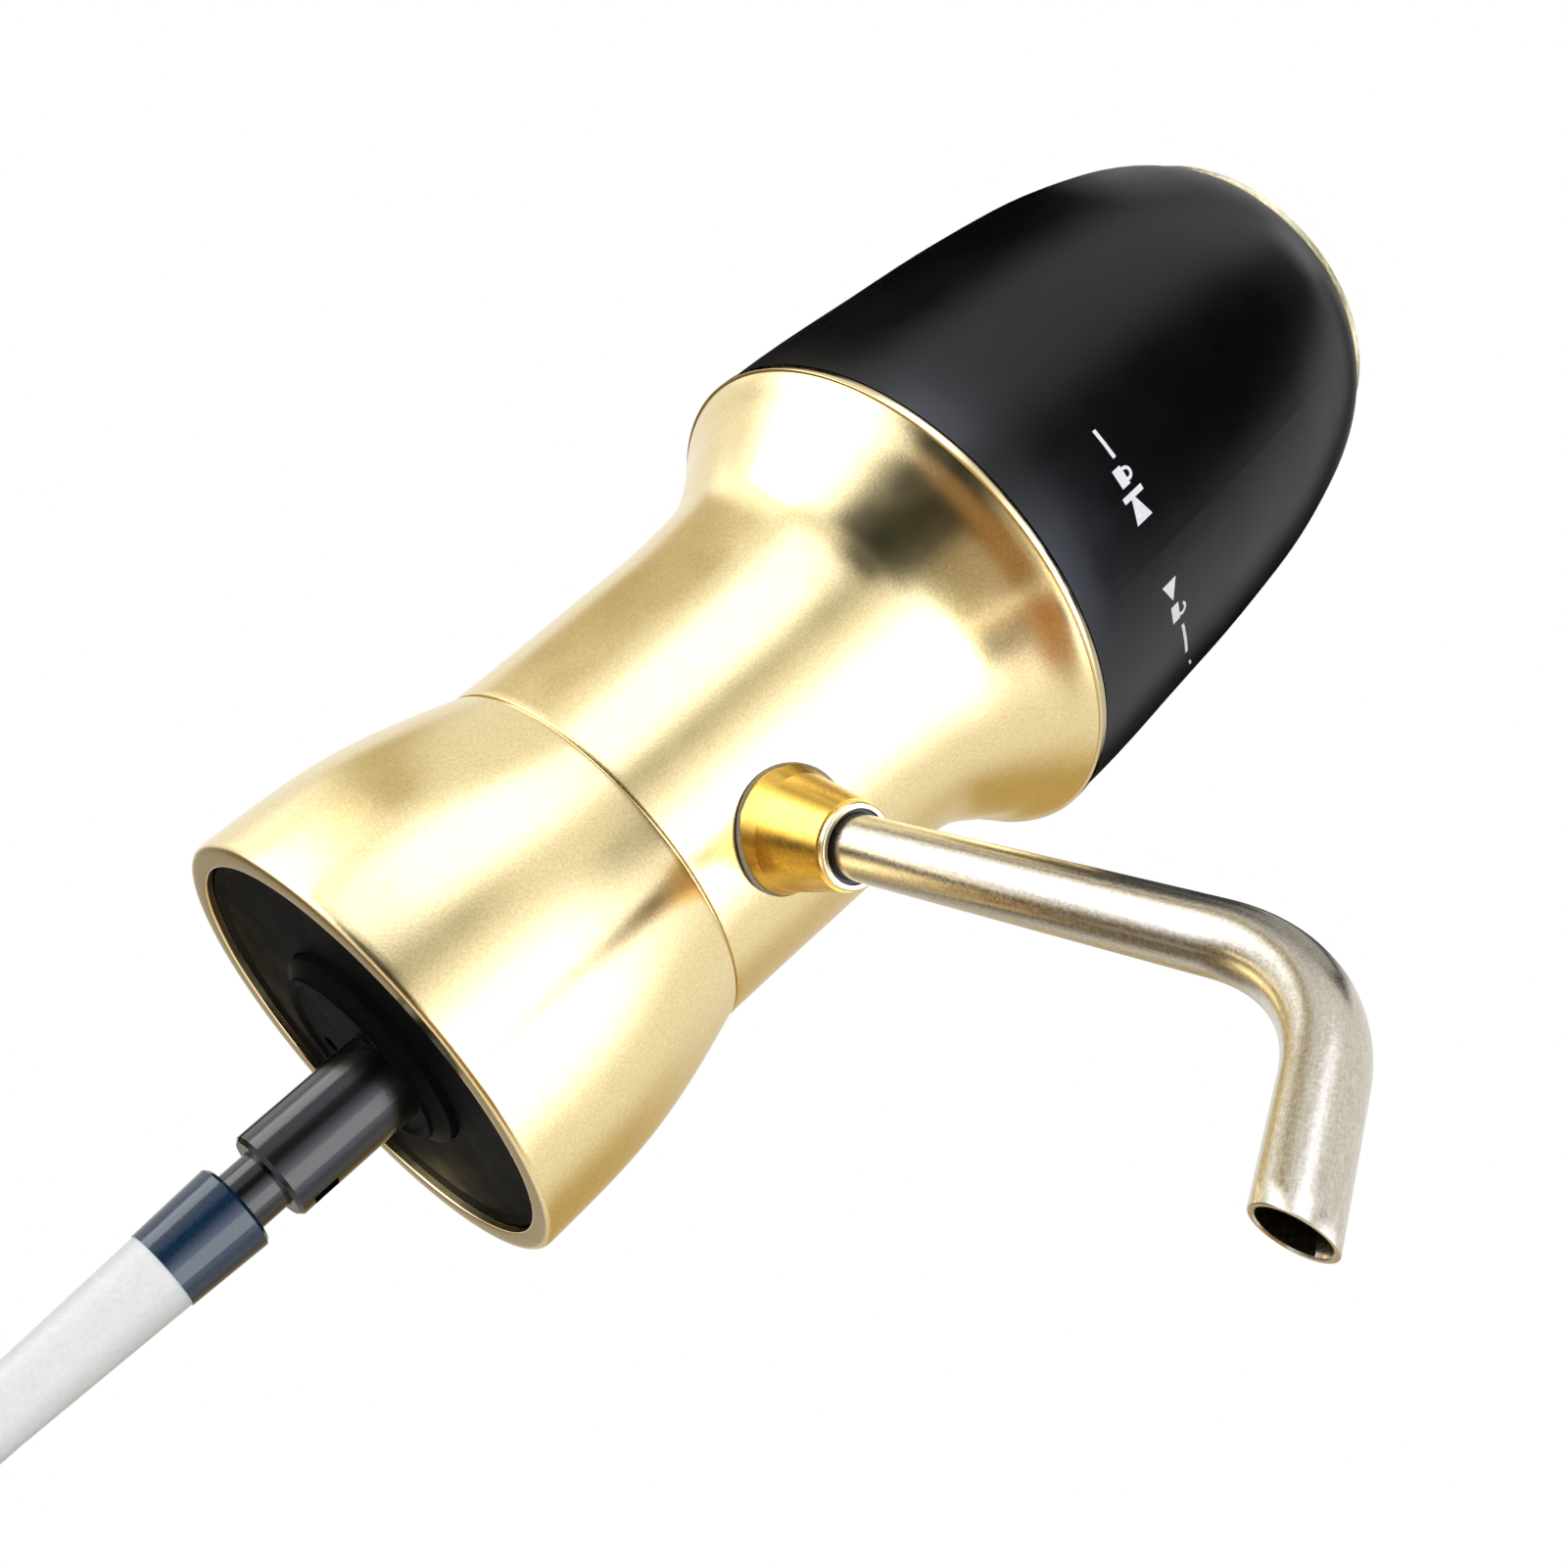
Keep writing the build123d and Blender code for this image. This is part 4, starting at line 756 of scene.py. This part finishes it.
# What shiny surfaces see around the object, each zone over the ones before it: azimuth and elevation, half
# widths and softness in degrees, and a tint
surroundings = {
    "frontSoftbox": {"at": (10, 11), "half": (30, 32), "soft": 36, "tint": (3.0, 3.15, 3.9)},
    "leftSoftbox": {"at": (-114, -24), "half": (27, 21), "soft": 24, "tint": (2.6, 2.75, 3.4)},
    "upperSoftbox": {"at": (-76, 34), "half": (19, 20), "soft": 16, "tint": (2.4, 2.55, 3.1)},
    "skirtDusk": {"at": (-46, 23), "half": (6, 5), "soft": 11, "tint": (0.40, 0.40, 0.32)},
    "duskAbove": {"at": (-18, 52), "half": (12, 4), "soft": 9, "tint": (0.28, 0.27, 0.21)},
    "greyBelow": {"at": (-8, -28), "half": (22, 8), "soft": 12, "tint": (0.34, 0.29, 0.18)},
    "woodBelow": {"at": (-6, -54), "half": (70, 18), "soft": 14, "tint": (0.34, 0.19, 0.07)},
    "woodPatch": {"at": (27, -37), "half": (20, 10), "soft": 11, "tint": (0.50, 0.24, 0.08)},
    "woodKnot": {"at": (22, -25), "half": (7, 7), "soft": 6, "tint": (0.0, 0.0, 0.0)},
    "darkGap": {"at": (-54, -25), "half": (25, 22), "soft": 14, "tint": (0.01, 0.014, 0.01)},
    "darkSlot": {"at": (-54, 4), "half": (14, 10), "soft": 13, "tint": (0.03, 0.03, 0.025)},
    "rightTan": {"at": (110, 2), "half": (26, 24), "soft": 28, "tint": (0.56, 0.42, 0.18)},
    "backWhite": {"at": (-132, 12), "half": (28, 8), "soft": 8, "tint": (1.5, 1.55, 1.6)},
    "backTan": {"at": (-138, 25), "half": (28, 5), "soft": 8, "tint": (0.56, 0.47, 0.28)},
    "duskBehind": {"at": (174, -42), "half": (34, 28), "soft": 18, "tint": (0.20, 0.15, 0.09)},
    "duskLow": {"at": (160, -14), "half": (22, 8), "soft": 12, "tint": (0.34, 0.31, 0.27)},
}


def addWorld():
    # the camera sees plain white, diffuse surfaces get an even fill, shiny ones see the studio around them
    world = bpy.data.worlds.new("studio")
    bpy.context.scene.world = world
    world.use_nodes = True
    world.cycles.sampling_method = "NONE"
    tree = world.node_tree
    tree.nodes.clear()
    direction = addNode(tree, "ShaderNodeTexCoord").outputs["Generated"]
    azimuth, rise = azimuthAndHeight(tree, direction)
    elevation = addNode(tree, "ShaderNodeMath", links={0: rise}, operation="ARCSINE").outputs["Value"]
    shade = None
    for zone in surroundings.values():
        across, upward = [softBand(tree, source, centre, half, zone["soft"]) for source, centre, half in
                          zip((azimuth, elevation), zone["at"], zone["half"])]
        weight = addNode(tree, "ShaderNodeMath", links={0: across, 1: upward}, operation="MULTIPLY")
        links = {"Factor": weight.outputs["Value"]}
        if shade:
            links["A"] = shade
        shade = addNode(tree, "ShaderNodeMix", {"A": (1, 1, 1, 1), "B": (*zone["tint"], 1)}, links,
                        data_type="RGBA").outputs["Result"]
    rays = addNode(tree, "ShaderNodeLightPath").outputs
    plain = (1, 1, 1, 1)
    fill, white = [addNode(tree, "ShaderNodeBackground", {"Color": plain, "Strength": strength}).outputs[0]
                   for strength in (studioFill, 1.0)]
    around = addNode(tree, "ShaderNodeBackground", {"Strength": 1.0}, {"Color": shade}).outputs[0]
    mirror = addNode(tree, "ShaderNodeMath", links={0: rays["Is Glossy Ray"], 1: rays["Is Transmission Ray"]},
                     operation="MAXIMUM").outputs["Value"]
    lit = addNode(tree, "ShaderNodeMixShader", links={0: mirror, 1: fill, 2: around}).outputs[0]
    seen = addNode(tree, "ShaderNodeMixShader", links={0: rays["Is Camera Ray"], 1: lit, 2: white}).outputs[0]
    addNode(tree, "ShaderNodeOutputWorld", links={"Surface": seen})


def stagedPlane(name, corners, faces, material, seenBy):
    mesh = bpy.data.meshes.new(name)
    mesh.from_pydata(corners, [], faces)
    mesh.materials.append(material)
    piece = bpy.data.objects.new(name, mesh)
    bpy.context.scene.collection.objects.link(piece)
    for kind in ("camera", "diffuse", "glossy", "transmission", "volume_scatter", "shadow"):
        setattr(piece, "visible_" + kind, kind in seenBy)


# The drop leaves room under the dip tube, which can be pulled down off its nozzle
floorPaper = {"drop": 0.016, "size": 4.0, "colour": "#F1F1EF", "roughness": 0.9}


def addFloor():
    # matt paper: pale, with the object's soft shadow
    material = bpy.data.materials.new("pale_floor")
    material.use_nodes = True
    shader = material.node_tree.nodes["Principled BSDF"]
    shader.inputs["Base Color"].default_value = linearColour(floorPaper["colour"])
    shader.inputs["Roughness"].default_value = floorPaper["roughness"]
    half = floorPaper["size"] / 2
    level = cadBox[0][2] - floorPaper["drop"]
    corners = [(x, y, level) for x, y in ((-half, -half), (half, -half), (half, half), (-half, half))]
    stagedPlane("floor", corners, [(0, 1, 2, 3)], material, ("camera", "diffuse", "shadow"))


def glowing(name):
    # material that only shines, still without its strength
    material = bpy.data.materials.new(name)
    material.use_nodes = True
    tree = material.node_tree
    tree.nodes.clear()
    glow = addNode(tree, "ShaderNodeEmission")
    addNode(tree, "ShaderNodeOutputMaterial", links={"Surface": glow.outputs[0]})
    return material, tree, glow.inputs["Strength"]


# Windows as (azimuth, half width) in degrees, the skylight from and to a height in metres
canopy = {"radius": 0.072, "low": 0.106, "slant": 0.006, "slantTo": -60, "high": 0.65, "dark": 0.0,
          "bright": 0.60, "soft": 26, "windows": {"left": (-72, 26), "right": (49, 25)},
          "skylight": {"at": 180, "half": 75, "from": 0.190, "to": 0.215, "level": 0.45}}


def addCanopy(segments=96):
    # dark surround above cap height with two pale windows and a dim skylight behind, seen only in reflections
    material, tree, strength = glowing("canopy_cloth")
    azimuth, height = azimuthAndHeight(tree, addNode(tree, "ShaderNodeTexCoord").outputs["Object"])
    left, right = [softBand(tree, azimuth, *window, canopy["soft"]) for window in canopy["windows"].values()]
    windows = addNode(tree, "ShaderNodeMath", links={0: left, 1: right}, operation="MAXIMUM").outputs["Value"]
    pale = addNode(tree, "ShaderNodeMapRange", {"To Min": canopy["dark"], "To Max": canopy["bright"]},
                   {"Value": windows}).outputs["Result"]
    sky = canopy["skylight"]
    behind = softBand(tree, azimuth, sky["at"], sky["half"], canopy["soft"])
    above = addNode(tree, "ShaderNodeMapRange",
                    {"From Min": sky["from"], "From Max": sky["to"], "To Max": sky["level"]},
                    {"Value": height}).outputs["Result"]
    pane = addNode(tree, "ShaderNodeMath", links={0: behind, 1: above}, operation="MULTIPLY").outputs["Value"]
    level = addNode(tree, "ShaderNodeMath", links={0: pale, 1: pane}, operation="MAXIMUM").outputs["Value"]
    tree.links.new(level, strength)
    turns = turnsOf(segments)
    slantTo = math.radians(canopy["slantTo"])
    edge = [canopy["low"] + canopy["slant"] * math.cos(turn - slantTo) for turn in turns]
    corners = [(canopy["radius"] * math.cos(turn), canopy["radius"] * math.sin(turn), height)
               for heights in (edge, [canopy["high"]] * segments) for turn, height in zip(turns, heights)]
    faces = [(step, (step + 1) % segments, segments + (step + 1) % segments, segments + step)
             for step in range(segments)]
    stagedPlane("canopy", corners, faces, material, ("glossy",))


# Bright upright cards close by, seen only in reflections, with their azimuth in degrees
cards = {"leftCard": {"azimuth": -114, "distance": 0.35, "width": 0.20, "low": -0.22, "high": 0.09,
                      "level": 5.0},
         "frontCard": {"azimuth": 9, "distance": 0.40, "width": 0.24, "low": -0.06, "high": 0.12,
                       "level": 5.0}}


def addCards():
    for name, card in cards.items():
        material, tree, strength = glowing(name)
        strength.default_value = card["level"]
        turn = Matrix.Rotation(math.radians(card["azimuth"]), 3, "Z")
        half = card["width"] / 2
        corners = [turn @ Vector((card["distance"], side, height))
                   for side, height in ((-half, card["low"]), (half, card["low"]),
                                        (half, card["high"]), (-half, card["high"]))]
        stagedPlane(name, corners, [(0, 1, 2, 3)], material, ("glossy",))


def softLamp(name, lamp):
    data = bpy.data.lights.new(name, "AREA")
    data.shape = "DISK"
    data.size = lamp["size"]
    data.energy = lamp["power"]
    light = bpy.data.objects.new(name, data)
    light.location = lamp["place"]
    light.rotation_euler = (Vector(lamp["aim"]) - light.location).to_track_quat("-Z", "Y").to_euler()
    light.visible_camera = False
    bpy.context.scene.collection.objects.link(light)
    return light


bodyMiddle = (0.02, 0, 0.04)
lamps = {"key": {"place": (0.50, -0.42, 0.05), "aim": bodyMiddle, "size": 0.6, "power": 2.5},
         "side": {"place": (-0.35, -0.70, 0.20), "aim": bodyMiddle, "size": 0.6, "power": 1.0},
         "top": {"place": (0.10, 0.35, 0.95), "aim": bodyMiddle, "size": 0.8, "power": 2.6}}


def addLamps():
    # three large soft lamps model the matt surfaces and draw the shadow; reflections come from the world
    for name, lamp in lamps.items():
        softLamp(name, lamp).visible_glossy = False


crownLamp = {"place": (0.20, -0.12, 0.38), "aim": (0.01, 0, 0.14), "size": 1.2, "power": 2.4}


def addCrownLamp():
    # the canopy keeps the cap dark, so the gold ring above it has a large soft lamp of its own
    lit = bpy.data.collections.new("crown_ring")
    lit.objects.link(crownRing)
    light = softLamp("crown_lamp", crownLamp)
    light.data.cycles.use_multiple_importance_sampling = False
    light.light_linking.receiver_collection = lit


addCamera()
addWorld()
addLamps()
addFloor()
addCanopy()
addCards()
addCrownLamp()
bpy.context.scene.view_settings.view_transform = "Standard"
print("studio ready")
